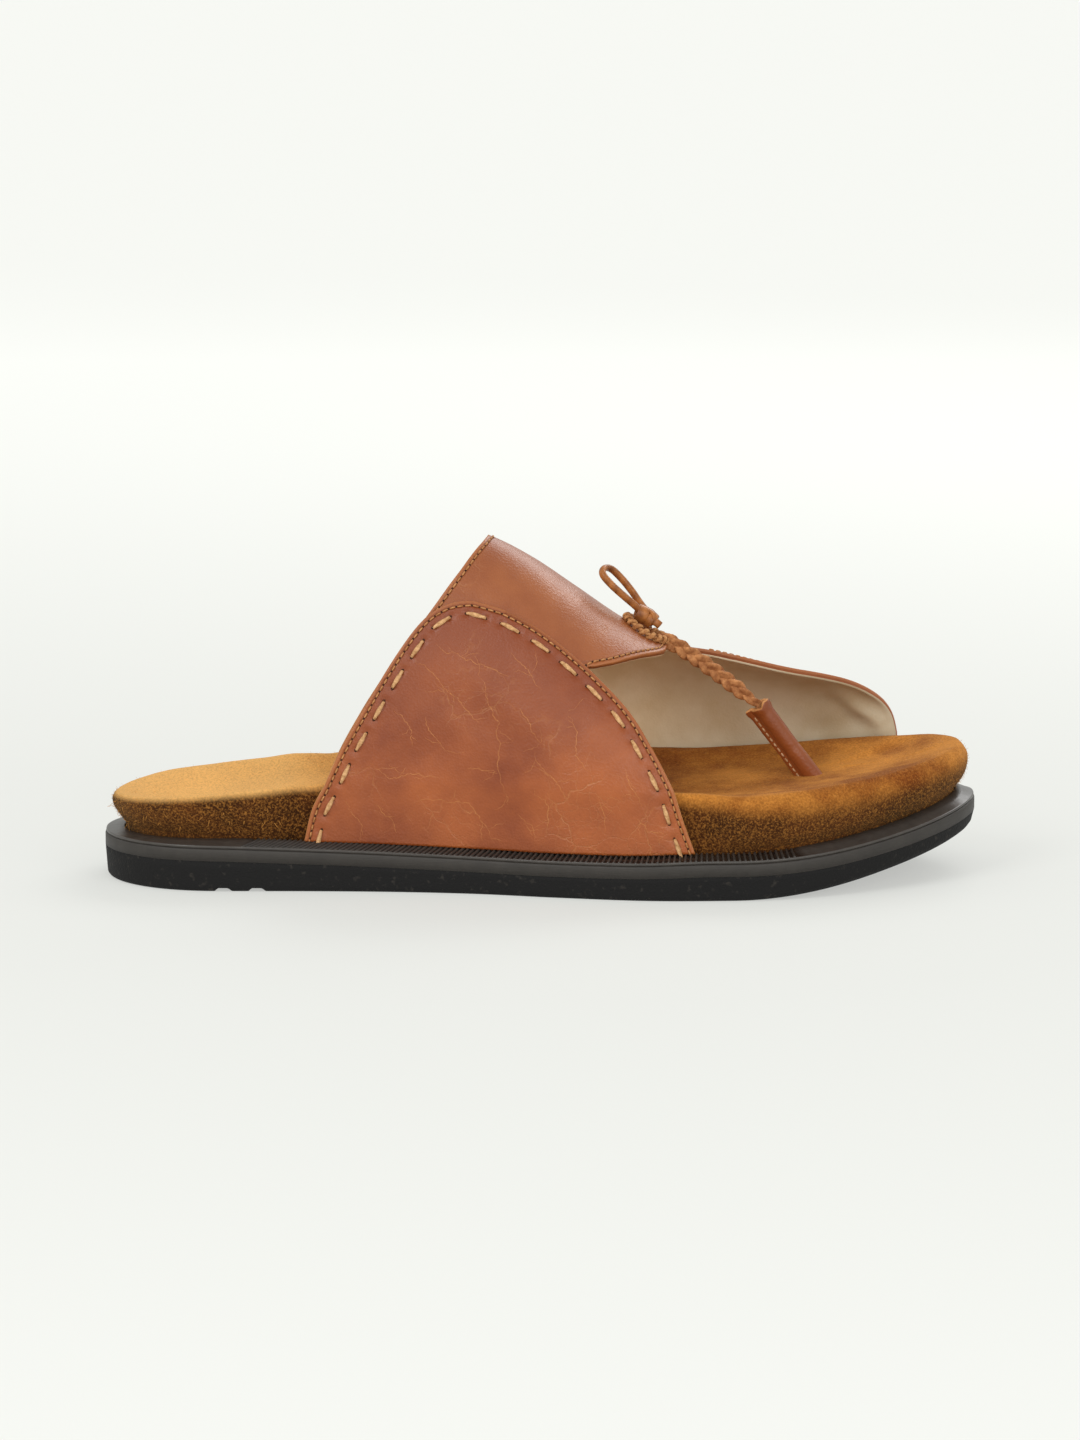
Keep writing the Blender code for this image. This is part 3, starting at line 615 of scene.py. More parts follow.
rib_pattern = bar_pattern("rib_pattern", (-0.5, -0.47, -0.2, 0.2, 0.47, 0.5), 8, rib_profile)
ribs = copies_along("welt_ribs", rib_pattern, rib_places, (1.0, 1.0, 1.0), shaded_welt_rubber)
# Painted highlight: the ribs are painted most of the way to grey, lighter than the shaded hollows between
# them.
paint(ribs, "unshaded_grey_rubber", np.full(len(ribs.data.vertices), RIB_CREST_HIGHLIGHT))
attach(ribs, "root")

# The footbed: cork and foam wrapped in one skin of golden suede. The sides are drawn in at the
# bottom, the rim is round, and the top is dished for the heel and the ball of the foot.
UPPER_WALL = 0.0022
FOOTBED_BULGE = 0.0042
COVER_CLEARANCE = 0.0011
COVER_MARGIN = 0.012
COVER_FADE = 0.040
COVER_FADE_AT_TOE = 0.020
UPPER_INSET = WELT_WIDTH + FIT_GAP
LATERAL_FOOT = (0.219, 0.678)
MEDIAL_FOOT = (0.249, 0.940)
FOOTBED = (  # share of the length, rim height on the lateral and medial side, depth of the dish
    (0.00, 0.0270, 0.0270, 0.0040),
    (0.05, 0.0287, 0.0288, 0.0052),
    (0.11, 0.0305, 0.0303, 0.0062),
    (0.16, 0.0318, 0.0320, 0.0066),
    (0.24, 0.0330, 0.0352, 0.0066),
    (0.30, 0.0336, 0.0370, 0.0062),
    (0.45, 0.0340, 0.0372, 0.0050),
    (0.60, 0.0336, 0.0352, 0.0050),
    (0.69, 0.0340, 0.0350, 0.0055),
    (0.805, 0.0362, 0.0370, 0.0058),
    (0.90, 0.0388, 0.0390, 0.0055),
    (1.00, 0.0418, 0.0418, 0.0045),
)
FOOTBED_SIDE = (  # share of the bare side's height, share of the bulge at the heel and at the toe
    (0.00, 0.00, 0.00),
    (0.24, 0.42, 0.66),
    (0.50, 0.82, 0.98),
    (0.76, 1.00, 0.96),
    (0.92, 0.86, 0.64),
)
FOOTBED_TOP = (  # inset from the rim as a share of the half width, depth share at the heel and at the toe
    (0.05, -0.04, 0.17),
    (0.11, 0.04, 0.22),
    (0.22, 0.34, 0.44),
    (0.38, 0.72, 0.74),
    (0.60, 0.95, 0.92),
    (0.82, 1.00, 0.96),
)
TOE_RIM_DROP = 0.16
LATERAL_RIM_DROP = 0.24
TOE_SHAPE = (0.55, 0.85)  # shares of the length between which the heel's shape becomes the toe's
# Between these shares of the side's height, the side's painted shade and darker suede give way to the golden
# top.
HEEL_SHADE = (0.82, 1.02)  # shares of the side's height between which its dark suede turns golden
TOE_SHADE = (0.40, 0.88)
LUMP_DEPTH = 0.00012
LUMPS_PER_METRE = 90.0
LOWEST_LUMP = 0.022


def covered(share, side):
    """1 where the upper wraps the footbed's side and 0 where the side is bare."""
    rear = np.where(side < 0, LATERAL_FOOT[0], MEDIAL_FOOT[0]) - COVER_MARGIN
    front = np.where(side < 0, LATERAL_FOOT[1], MEDIAL_FOOT[1]) + COVER_MARGIN
    entry = np.clip((share - rear + COVER_FADE) / COVER_FADE, 0, 1)
    leave = np.clip((share - front) / np.where(side < 0, COVER_FADE, COVER_FADE_AT_TOE), 0, 1)
    return entry * entry * (3 - 2 * entry) * (1 - leave * leave * (3 - 2 * leave))


def footbed_inset(share, side):
    """How far the footbed's foot stands inside the sole's outline."""
    return UPPER_INSET + covered(share, side) * (UPPER_WALL + COVER_CLEARANCE)


def rim_height(share, side):
    """Height of the footbed's rim before it is rolled down at the toe."""
    return np.where(side < 0, read(FOOTBED, share, 1), read(FOOTBED, share, 2))


def bulge(share, side):
    """How far the bare side swells out above its foot."""
    return FOOTBED_BULGE * (1 - covered(share, side))


def lateral_drop(share, side):
    """How far the rim beside the little toe is rolled down, as a share of the dish's depth."""
    beside_toe = soft_step(0.58, 0.75, share) * soft_step(1.0, 0.90, share)
    return np.where(side < 0, LATERAL_RIM_DROP * beside_toe, 0)


toe_share = soft_step(*TOE_SHAPE, ROUND_SHARE)
rim_drop = TOE_RIM_DROP * toe_share + lateral_drop(ROUND_SHARE, ROUND_SIDE)
rim = rim_height(ROUND_SHARE, ROUND_SIDE) - rim_drop * read(FOOTBED, ROUND_SHARE, 3)
base = midsole_top(ROUND_SHARE) + FIT_GAP
bare = base + WELT_LIP + WELT_RISE + FIT_GAP
inset = footbed_inset(ROUND_SHARE, ROUND_SIDE)
swell = bulge(ROUND_SHARE, ROUND_SIDE)
half_width = read(OUTLINE, ROUND_SHARE, 2) * BALL_WIDTH
dish = read(FOOTBED, ROUND_SHARE, 3)
shade_low = HEEL_SHADE[0] + (TOE_SHADE[0] - HEEL_SHADE[0]) * toe_share
shade_high = HEEL_SHADE[1] + (TOE_SHADE[1] - HEEL_SHADE[1]) * toe_share
bed_rings, bed_side = [ring(inset, base)], [1.0]
for height in np.linspace(0, FOOTBED_SIDE[-1][0], 24):
    fullness = (1 - toe_share) * read(FOOTBED_SIDE, height, 1) + toe_share * read(FOOTBED_SIDE, height, 2)
    bed_rings.append(ring(inset - fullness * swell, bare + height * (rim - bare)))
    bed_side.append(1.0 - soft_step(shade_low, shade_high, height))
rim_inset = inset - fullness * swell
bed_rings.append(ring(rim_inset + 0.02 * half_width, rim - 0.02 * dish))
bed_side.append(0.0)
for inwards in np.concatenate([np.linspace(0.05, 0.3, 10), np.linspace(0.36, 0.82, 12)]):
    inner = (1 - inwards) * rim_inset + inwards * half_width
    own_share = ROUND_SHARE + (inner - rim_inset) * (1 - 2 * ROUND_SHARE) / SOLE_LENGTH
    own_toe = soft_step(*TOE_SHAPE, own_share)
    sunk = (1 - own_toe) * read(FOOTBED_TOP, inwards, 1) + own_toe * read(FOOTBED_TOP, inwards, 2)
    sunk = sunk + lateral_drop(own_share, ROUND_SIDE) * soft_step(0.5, 0.0, inwards)
    bed_rings.append(ring(inner, rim_height(own_share, ROUND_SIDE) - read(FOOTBED, own_share, 3) * sunk))
    bed_side.append(0.0)
bed_top = across(bed_rings[-1], 14)
bed_bottom = across(bed_rings[0], 3)
bed_grids = ((np.array(bed_rings), False, True), (bed_top, False, False), (bed_bottom, False, False))

# Golden split suede, brushed so that its nap lies in streaks along the shoe: quite matt, mottled,
# with a soft sheen where the nap stands. A painted highlight makes the top paler towards the heel.
# The sides are dark with golden fibre ends. Their darkness is partly the suede's own and partly
# painted shade, which fades to the golden top near the rim. Real fibre ends are 0.05 mm thick.
# They are drawn 0.667 mm wide, so they show.
suede, tree, shader = new_finish(
    "brushed_golden_suede", Roughness=0.95, Sheen_Weight=0.14, Sheen_Roughness=0.5, Specular_IOR_Level=0.1
)
shader.inputs["Sheen Tint"].default_value = linear("#f0c080")
place = add_node(tree, "ShaderNodeTexCoord").outputs["Object"]
side_share = add_node(tree, "ShaderNodeAttribute", attribute_name="side").outputs["Fac"]
patches = add_node(
    tree,
    "ShaderNodeTexNoise",
    {"Vector": place, "Scale": pattern_scale(29.41), "Detail": 7.0, "Roughness": 0.62},
)
strokes = add_node(
    tree,
    "ShaderNodeMapping",
    {"Vector": place, "Scale": (pattern_scale(6.25), pattern_scale(2.38), pattern_scale(2.38))},
)
nap = add_node(tree, "ShaderNodeTexNoise", {"Vector": strokes.outputs["Vector"], "Scale": 1.0, "Detail": 5.0})
fibres = add_node(
    tree,
    "ShaderNodeTexNoise",
    {"Vector": place, "Scale": pattern_scale(0.6667), "Detail": 3.0, "Roughness": 0.7},
)
top_share = add_node(
    tree, "ShaderNodeMapRange", {"Value": patches.outputs["Fac"], "From Min": 0.38, "From Max": 0.62}
)
side_patches = add_node(
    tree, "ShaderNodeMapRange", {"Value": patches.outputs["Fac"], "From Min": 0.38, "From Max": 0.64}
)
top_tint = add_node(
    tree,
    "ShaderNodeMix",
    {0: top_share.outputs["Result"], 6: linear("#7d4014"), 7: linear("#c07d35")},
    data_type="RGBA",
)
# Painted highlight: the top turns paler and yellower towards the heel, where the light falls strongest.
heel_painted_highlight = add_node(
    tree,
    "ShaderNodeMapRange",
    {
        "Value": add_node(tree, "ShaderNodeSeparateXYZ", {"Vector": place}).outputs["X"],
        "From Min": -0.040,
        "From Max": -0.085,
        "To Max": 0.75,
    },
)
top_tint = add_node(
    tree,
    "ShaderNodeMix",
    {0: heel_painted_highlight.outputs["Result"], 6: top_tint.outputs[2], 7: linear("#eab871")},
    data_type="RGBA",
)
# The side's dark tint is partly the suede's own colour and partly painted shade, since the side faces down
# and away from the lights.
side_shade_tint = add_node(
    tree,
    "ShaderNodeMix",
    {0: side_patches.outputs["Result"], 6: linear("#2f1809"), 7: linear("#562e12")},
    data_type="RGBA",
)
tint = add_node(
    tree, "ShaderNodeMix", {0: side_share, 6: top_tint.outputs[2], 7: side_shade_tint.outputs[2]}, data_type="RGBA"
)
brushed = add_node(
    tree,
    "ShaderNodeMapRange",
    {"Value": fibres.outputs["Fac"], "From Min": 0.36, "From Max": 0.64, "To Min": 0.74, "To Max": 1.16},
)
napped = add_node(
    tree,
    "ShaderNodeMix",
    {0: 1.0, 6: tint.outputs[2], 7: brushed.outputs["Result"]},
    data_type="RGBA",
    blend_type="MULTIPLY",
)
gold = add_node(
    tree,
    "ShaderNodeMapRange",
    {"Value": fibres.outputs["Fac"], "From Min": 0.47, "From Max": 0.70, "To Max": 0.85},
)
coarse = add_node(tree, "ShaderNodeMapRange", {"Value": side_share, "To Min": 0.35, "To Max": 0.62})
grained = add_node(
    tree, "ShaderNodeMath", {0: gold.outputs["Result"], 1: coarse.outputs["Result"]}, operation="MULTIPLY"
)
specked = add_node(
    tree,
    "ShaderNodeMix",
    {0: grained.outputs[0], 6: napped.outputs[2], 7: linear("#c4853c")},
    data_type="RGBA",
)
fuzz = add_node(
    tree, "ShaderNodeBump", {"Height": fibres.outputs["Fac"], "Strength": 0.8, "Distance": 0.0005}
)
worn = add_node(
    tree,
    "ShaderNodeBump",
    {"Height": nap.outputs["Fac"], "Strength": 0.15, "Distance": 0.0012, "Normal": fuzz.outputs["Normal"]},
)
tree.links.new(specked.outputs[2], shader.inputs["Base Color"])
tree.links.new(worn.outputs["Normal"], shader.inputs["Normal"])

footbed = grid_piece("footbed_suede", suede, *bed_grids)
side_values = [np.broadcast_to(value, len(ROUND_SHARE)) for value in bed_side]
side_values += [np.zeros(bed_top[..., 0].size), np.ones(bed_bottom[..., 0].size)]
paint(footbed, "side", np.concatenate(side_values))
merge_close(footbed)
for vertex in footbed.data.vertices:
    if vertex.co.z > LOWEST_LUMP:
        lump = noise.fractal(vertex.co * LUMPS_PER_METRE, 0.8, 2.0, 3)
        vertex.co += vertex.normal * LUMP_DEPTH * lump
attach(footbed, "root")
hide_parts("footbed")

# Loose suede fibres that stand off the footbed's rim and sides and soften its outline. They are
# the skin's own fibres, raised by the brush, and lean every way.
FIBRE_COUNT = 5200
FIBRE_LENGTH = 0.0008
FIBRE_HALF_WIDTH = 0.000035
FIBRE_RISE = 0.00006
FIBRE_SEED = 7
NAP_FROM_HEIGHT = 0.018
LEAST_FACE = 1e-8
SIDE_SLOPE = 0.8  # a face is part of the side where its normal's height is less
SIDE_FIBRES = 4.0
TOP_FIBRES = 0.35
# A fibre end is matt and pale gold, with no gloss of its own.
fibre_finish, tree, shader = new_finish(
    "loose_suede_fibre", Base_Color=linear("#c48a45"), Roughness=0.9, Specular_IOR_Level=0.2
)
draw = np.random.default_rng(FIBRE_SEED)
bed_mesh = footbed.data
napped_faces = [f for f in bed_mesh.polygons if f.center.z > NAP_FROM_HEIGHT and f.area > LEAST_FACE]
weights = [f.area * (SIDE_FIBRES if abs(f.normal.z) < SIDE_SLOPE else TOP_FIBRES) for f in napped_faces]
weights = np.array(weights)
fibre_places = []
for k in draw.choice(len(napped_faces), FIBRE_COUNT, p=weights / weights.sum()):
    face = napped_faces[k]
    corner = bed_mesh.vertices[face.vertices[int(draw.integers(len(face.vertices)))]].co
    spot = face.center.lerp(corner, float(draw.random()) * 0.9)
    lean = face.normal + Vector(draw.normal(0, 0.7, 3))
    fibre_places.append((spot, lean, Vector((0.3, 0.2, 1)), (float(draw.uniform(0.5, 1.3)), 1.0, 1.0)))


def fibre_profile(t):
    """A fibre that tapers and lifts towards its free end."""
    return FIBRE_HALF_WIDTH * (1.2 - t), FIBRE_HALF_WIDTH, FIBRE_RISE * t, 0


fibre_pattern = bar_pattern("fibre_pattern", (0.0, 0.5, 1.0), 3, fibre_profile)
fibres_piece = copies_along(
    "footbed_fibres", fibre_pattern, fibre_places, (FIBRE_LENGTH, 1.0, 1.0), fibre_finish
)
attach(fibres_piece, "root")

# The shreds: a few longer curls of suede on the lower side of the heel, where the skin was
# trimmed. They stay fixed at one end and hang over the welt.
SHRED_COUNT = 90
SHRED_LENGTH = 0.0024
SHRED_HALF_WIDTH = 0.00009
SHRED_HALF_THICKNESS = 0.00005
SHRED_CURL = 0.0004
HEEL_END_X = -0.070
LOW_HEEL_HEIGHT = 0.026
# A torn edge of suede is pale and matt, because its loose fibres scatter the light.
shred_finish, tree, shader = new_finish(
    "trimmed_suede_shred", Base_Color=linear("#c98d44"), Roughness=0.9, Specular_IOR_Level=0.2
)
side_faces = [f for f in napped_faces if abs(f.normal.z) < SIDE_SLOPE]
low_heel = [f for f in side_faces if f.center.x < HEEL_END_X and f.center.z < LOW_HEEL_HEIGHT]
shred_places = []
for k in draw.choice(len(low_heel), SHRED_COUNT):
    face = low_heel[k]
    hang = Vector((draw.normal(0, 0.5), draw.normal(0, 0.25), draw.normal(-0.5, 0.8))) + face.normal * 0.35
    size = (float(draw.uniform(0.3, 1.2)), 1.0, 1.0)
    shred_places.append((face.center + face.normal * 0.0001, hang, face.normal, size))


def shred_profile(t):
    """A flat shred that tapers and bows up in its middle."""
    return SHRED_HALF_WIDTH * (1.1 - t), SHRED_HALF_THICKNESS, SHRED_CURL * t * (1 - t), 0


shred_pattern = bar_pattern("shred_pattern", (0.0, 0.35, 0.7, 1.0), 4, shred_profile)
shreds = copies_along("heel_shreds", shred_pattern, shred_places, (SHRED_LENGTH, 1.0, 1.0), shred_finish)
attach(shreds, "root")

# The upper: one vamp of waxed pull-up leather over a beige lining, with a long wing along the big
# toe. Its front edge is turned in over the lining and its rear edge is cut raw. Its two feet
# stand between the welt and the footbed.
CROWN_HEIGHT = 0.110
CROWN_SHIFT = 0.005
WALL_U = 0.10
MEDIAL_REAR_SHIFT = 0.030
FINE_U = (0.255, 0.70)  # the front edge turns sharply here, so the mesh is finer
SEAM_INSET = 0.0015
VAMP_EDGE_ROUND = 0.00025
EDGE_LAYERS = (0.12, 0.45, 0.74)  # places through the wall where its rounded edge has a layer
CROWN = (  # share of the length, height as a share of the crown's height
    (0.20, 1.080),
    (0.38, 1.045),
    (0.44, 1.000),
    (0.49, 0.936),
    (0.54, 0.852),
    (0.595, 0.757),
    (0.65, 0.680),
    (0.71, 0.650),
    (0.755, 0.624),
    (0.80, 0.600),
    (0.85, 0.580),
    (0.90, 0.556),
    (0.96, 0.520),
)
UPPER_REAR = (  # u round the arch from either foot, share of the length at the rear edge
    (0.000, 0.219),
    (0.070, 0.232),
    (0.128, 0.259),
    (0.172, 0.288),
    (0.204, 0.311),
    (0.240, 0.336),
    (0.272, 0.360),
    (0.312, 0.384),
    (0.364, 0.408),
    (0.436, 0.429),
    (0.500, 0.438),
)
UPPER_FRONT = (  # u round the arch from the lateral foot, share of the length at the front edge
    (0.000, 0.678),
    (0.060, 0.661),
    (0.116, 0.648),
    (0.176, 0.628),
    (0.224, 0.603),
    (0.258, 0.574),
    (0.276, 0.550),
    (0.296, 0.566),
    (0.324, 0.588),
    (0.372, 0.616),
    (0.436, 0.645),
    (0.490, 0.655),
    (0.520, 0.682),
    (0.545, 0.722),
    (0.575, 0.772),
    (0.605, 0.822),
    (0.650, 0.872),
    (0.720, 0.908),
    (0.800, 0.928),
    (0.900, 0.937),
    (1.000, 0.940),
)
WING_FOLDS = (  # share of the length, u, length, width, lean and depth of each soft fold in the wing
    (0.905, 0.82, 0.016, 0.0030, 0.9, 0.0009),
    (0.890, 0.78, 0.018, 0.0034, 0.8, 0.0009),
    (0.870, 0.80, 0.016, 0.0036, 0.7, 0.0008),
    (0.845, 0.82, 0.015, 0.0040, 0.6, 0.0006),
    (0.800, 0.86, 0.030, 0.0080, 0.2, 0.0005),
    (0.700, 0.80, 0.034, 0.0100, -0.2, 0.0005),
    (0.620, 0.70, 0.030, 0.0110, 0.4, 0.0005),
)


def upper_surface(share, u):
    """The upper's outer surface: a straight wall beside the footbed, then an arch over the foot."""
    x, lateral = plan(share, -1, UPPER_INSET)
    _, medial = plan(share, 1, UPPER_INSET)
    foot = midsole_top(share) + FIT_GAP
    shoulder = rim_height(share, -1) * (1 - u) + rim_height(share, 1) * u
    crown = read(CROWN, share) * CROWN_HEIGHT
    up = np.minimum(u, 1 - u)
    side = np.where(u < 0.5, -1.0, 1.0)
    angle = math.pi / 2 * np.clip((up - WALL_U) / (0.5 - WALL_U), 0, 1)
    rise = np.sin(angle)
    arch_y = (lateral + medial) / 2 + side * np.cos(angle) * (medial - lateral) / 2 + CROWN_SHIFT * rise
    wall = up < WALL_U
    z = np.where(wall, foot + (shoulder - foot) * up / WALL_U, shoulder + (crown - shoulder) * rise)
    y = np.where(wall, np.where(side < 0, lateral, medial), arch_y)
    return np.stack(np.broadcast_arrays(x, y, z), -1)


def upper_normal(share, u):
    """Outward unit normal of the upper's surface."""
    step = 0.002
    along = upper_surface(share + step, u) - upper_surface(share - step, u)
    low, high = np.maximum(u - step, 0), np.minimum(u + step, 1)
    normal = np.cross(along, upper_surface(share, high) - upper_surface(share, low))
    return normal / np.linalg.norm(normal, axis=-1, keepdims=True)


def folds(points, rows):
    """Depth of soft troughs and ridges at each point. Each row is one fold."""
    depth = np.zeros(points.shape[:-1])
    for share, u, length, width, lean, deep in rows:
        centre = upper_surface(np.array(share), np.array(u))
        normal = upper_normal(np.array(share), np.array(u))
        forward = np.cross(np.array([0, 0, 1.0]), normal)
        forward /= np.linalg.norm(forward)
        upwards = np.cross(normal, forward)
        run = forward * math.cos(lean) + upwards * math.sin(lean)
        over_fold = np.cross(normal, run)
        offset = points - centre
        along, beside = offset @ run, offset @ over_fold
        beside = beside + 0.25 * width * np.sin(along / length * 4.0)
        fade = np.exp(-((along / length) ** 2) * 1.6) * (np.abs(offset @ normal) < 0.02)
        trough = np.exp(-((beside / width) ** 2))
        ridges = 0.5 * np.exp(-(((np.abs(beside) - 1.6 * width) / width) ** 2))
        depth += deep * fade * (trough - ridges)
    return depth


def leather_wall(name, outer, inner, bulge_out, outside, edge, inside, feet, turned=False):
    """A closed leather sheet with a rounded edge. feet are the rows whose edge is hidden in the
    welt, and turned says that the leather is folded over the front edge."""
    rows, columns = outer.shape[:2]
    lap = [(0, j) for j in range(columns)] + [(i, columns - 1) for i in range(1, rows)]
    lap += [(rows - 1, j) for j in range(columns - 2, -1, -1)] + [(i, 0) for i in range(rows - 2, 0, -1)]
    index = np.array([i * columns + j for i, j in lap])
    near = np.array([min(max(i, 1), rows - 2) * columns + min(max(j, 1), columns - 2) for i, j in lap])
    flat_outer, flat_inner = outer.reshape(-1, 3), inner.reshape(-1, 3)
    outwards = flat_outer[index] - flat_outer[near]
    outwards /= np.linalg.norm(outwards, axis=1, keepdims=True)
    points, layers = [flat_outer, flat_inner], []
    for t in EDGE_LAYERS:
        middle = flat_outer[index] * (1 - t) + flat_inner[index] * t
        layers.append(sum(len(p) for p in points) + np.arange(len(lap)))
        points.append(middle + outwards * bulge_out * math.sin(math.pi * t))
    layers = [index] + layers + [index + len(flat_outer)]
    faces = [grid_faces(rows, columns)[:, ::-1], grid_faces(rows, columns, first=len(flat_outer))]
    strip, strip_slots = [], []
    for layer, (a, b) in enumerate(zip(layers, layers[1:])):
        strip.append(np.stack([a, np.roll(a, -1), np.roll(b, -1), b], -1))
        over_edge = 0 if layer < len(EDGE_LAYERS) else 2
        strip_slots += [over_edge if turned and j == columns - 1 else 1 for _, j in lap]
    faces.append(np.concatenate(strip))
    piece = new_piece(name, np.concatenate(points), np.concatenate(faces), outside, edge, inside)
    slots = [0] * len(faces[0]) + [2] * len(faces[1]) + strip_slots
    piece.data.polygons.foreach_set("material_index", slots)
    border = kdtree.KDTree(len(lap))
    for (i, j), vertex in zip(lap, index):
        if i not in feet or j in (0, columns - 1):
            border.insert(flat_outer[vertex], int(vertex))
    border.balance()
    paint(piece, "edge_mm", [border.find(point)[2] * 1000 for point in np.concatenate(points)])
    merge_close(piece, 1e-7)
    return piece


def pull_up_leather(name, light, dark, vein, edge_tint, roughness, top_shade=0.0):
    """Waxed pull-up leather: clouded, paler where it is stretched, with fine veins and pores, under
    a thin polish. The last argument is how much painted shade darkens it above the instep. Real
    pores are 0.2 mm wide. They are drawn 0.8 mm wide, so that they show."""
    made, tree, shader = new_finish(name, Coat_Weight=0.18, Coat_Roughness=0.34, Specular_IOR_Level=0.36)
    place = add_node(tree, "ShaderNodeTexCoord").outputs["Object"]
    clouds = add_node(
        tree,
        "ShaderNodeTexNoise",
        {"Vector": place, "Scale": pattern_scale(38.46), "Detail": 6.0, "Roughness": 0.6},
    )
    warp = add_node(
        tree, "ShaderNodeTexNoise", {"Vector": place, "Scale": pattern_scale(18.18), "Detail": 4.0}
    )
    bent = add_node(
        tree,
        "ShaderNodeVectorMath",
        {0: warp.outputs["Color"], 1: (0.020, 0.020, 0.020), 2: place},
        operation="MULTIPLY_ADD",
    )
    cracks = add_node(
        tree,
        "ShaderNodeTexVoronoi",
        {"Vector": bent.outputs["Vector"], "Scale": pattern_scale(16.13)},
        feature="DISTANCE_TO_EDGE",
    )
    hairlines = add_node(
        tree,
        "ShaderNodeTexVoronoi",
        {"Vector": bent.outputs["Vector"], "Scale": pattern_scale(4.76)},
        feature="DISTANCE_TO_EDGE",
    )
    pores = add_node(tree, "ShaderNodeTexVoronoi", {"Vector": place, "Scale": pattern_scale(0.8)})
    patches = add_node(
        tree, "ShaderNodeTexNoise", {"Vector": place, "Scale": pattern_scale(33.33), "Detail": 3.0}
    )
    shown = add_node(
        tree, "ShaderNodeMapRange", {"Value": patches.outputs["Fac"], "From Min": 0.50, "From Max": 0.66}
    )
    line = add_node(
        tree, "ShaderNodeMapRange", {"Value": cracks.outputs["Distance"], "From Min": 0.022, "From Max": 0.0}
    )
    fine = add_node(
        tree,
        "ShaderNodeMapRange",
        {"Value": hairlines.outputs["Distance"], "From Min": 0.05, "From Max": 0.0, "To Max": 0.45},
    )
    veins = add_node(
        tree, "ShaderNodeMath", {0: line.outputs["Result"], 1: fine.outputs["Result"]}, operation="MAXIMUM"
    )
    seen = add_node(
        tree, "ShaderNodeMath", {0: veins.outputs[0], 1: shown.outputs["Result"]}, operation="MULTIPLY"
    )
    soft = add_node(tree, "ShaderNodeMath", {0: seen.outputs[0], 1: 0.34}, operation="MULTIPLY")
    cloud_share = add_node(
        tree, "ShaderNodeMapRange", {"Value": clouds.outputs["Fac"], "From Min": 0.32, "From Max": 0.68}
    )
    body = add_node(
        tree,
        "ShaderNodeMix",
        {0: cloud_share.outputs["Result"], 6: linear(dark), 7: linear(light)},
        data_type="RGBA",
    )
    # Painted shade: the leather darkens from 45 mm up to 80 mm above the floor.
    height = add_node(tree, "ShaderNodeSeparateXYZ", {"Vector": place}).outputs["Z"]
    high = add_node(
        tree, "ShaderNodeMapRange", {"Value": height, "From Min": 0.045, "From Max": 0.080, "To Max": top_shade}
    )
    body = add_node(
        tree,
        "ShaderNodeMix",
        {0: high.outputs["Result"], 6: body.outputs[2], 7: linear(dark)},
        data_type="RGBA",
    )
    veined = add_node(
        tree, "ShaderNodeMix", {0: soft.outputs[0], 6: body.outputs[2], 7: linear(vein)}, data_type="RGBA"
    )
    edge = add_node(tree, "ShaderNodeAttribute", attribute_name="edge_mm").outputs["Fac"]
    worn = add_node(
        tree, "ShaderNodeMapRange", {"Value": edge, "From Min": 1.5, "From Max": 0.0, "To Max": 0.55}
    )
    rubbed = add_node(
        tree,
        "ShaderNodeMix",
        {0: worn.outputs["Result"], 6: veined.outputs[2], 7: linear(edge_tint)},
        data_type="RGBA",
    )
    gloss = add_node(
        tree,
        "ShaderNodeMapRange",
        {
            "Value": clouds.outputs["Fac"],
            "From Min": 0.3,
            "From Max": 0.7,
            "To Min": roughness + 0.1,
            "To Max": roughness - 0.05,
        },
    )
    slack = add_node(
        tree, "ShaderNodeBump", {"Height": warp.outputs["Fac"], "Strength": 0.18, "Distance": 0.0025}
    )
    grain = add_node(
        tree,
        "ShaderNodeBump",
        {
            "Height": pores.outputs["Distance"],
            "Strength": 0.26,
            "Distance": 0.0004,
            "Normal": slack.outputs["Normal"],
        },
    )
    crease = add_node(
        tree,
        "ShaderNodeBump",
        {"Height": seen.outputs[0], "Strength": 0.35, "Distance": 0.0005, "Normal": grain.outputs["Normal"]},
        invert=True,
    )
    from_seam = add_node(tree, "ShaderNodeMath", {0: edge, 1: SEAM_INSET * 1000}, operation="SUBTRACT")
    channel = add_node(tree, "ShaderNodeMath", {0: from_seam.outputs[0]}, operation="ABSOLUTE")
    pressed = add_node(
        tree, "ShaderNodeMapRange", {"Value": channel.outputs[0], "From Min": 0.0, "From Max": 0.7}
    )
    seam = add_node(
        tree,
        "ShaderNodeBump",
        {
            "Height": pressed.outputs["Result"],
            "Strength": 0.7,
            "Distance": 0.0005,
            "Normal": crease.outputs["Normal"],
        },
    )
    tree.links.new(rubbed.outputs[2], shader.inputs["Base Color"])
    tree.links.new(gloss.outputs["Result"], shader.inputs["Roughness"])
    tree.links.new(seam.outputs["Normal"], shader.inputs["Normal"])
    return made


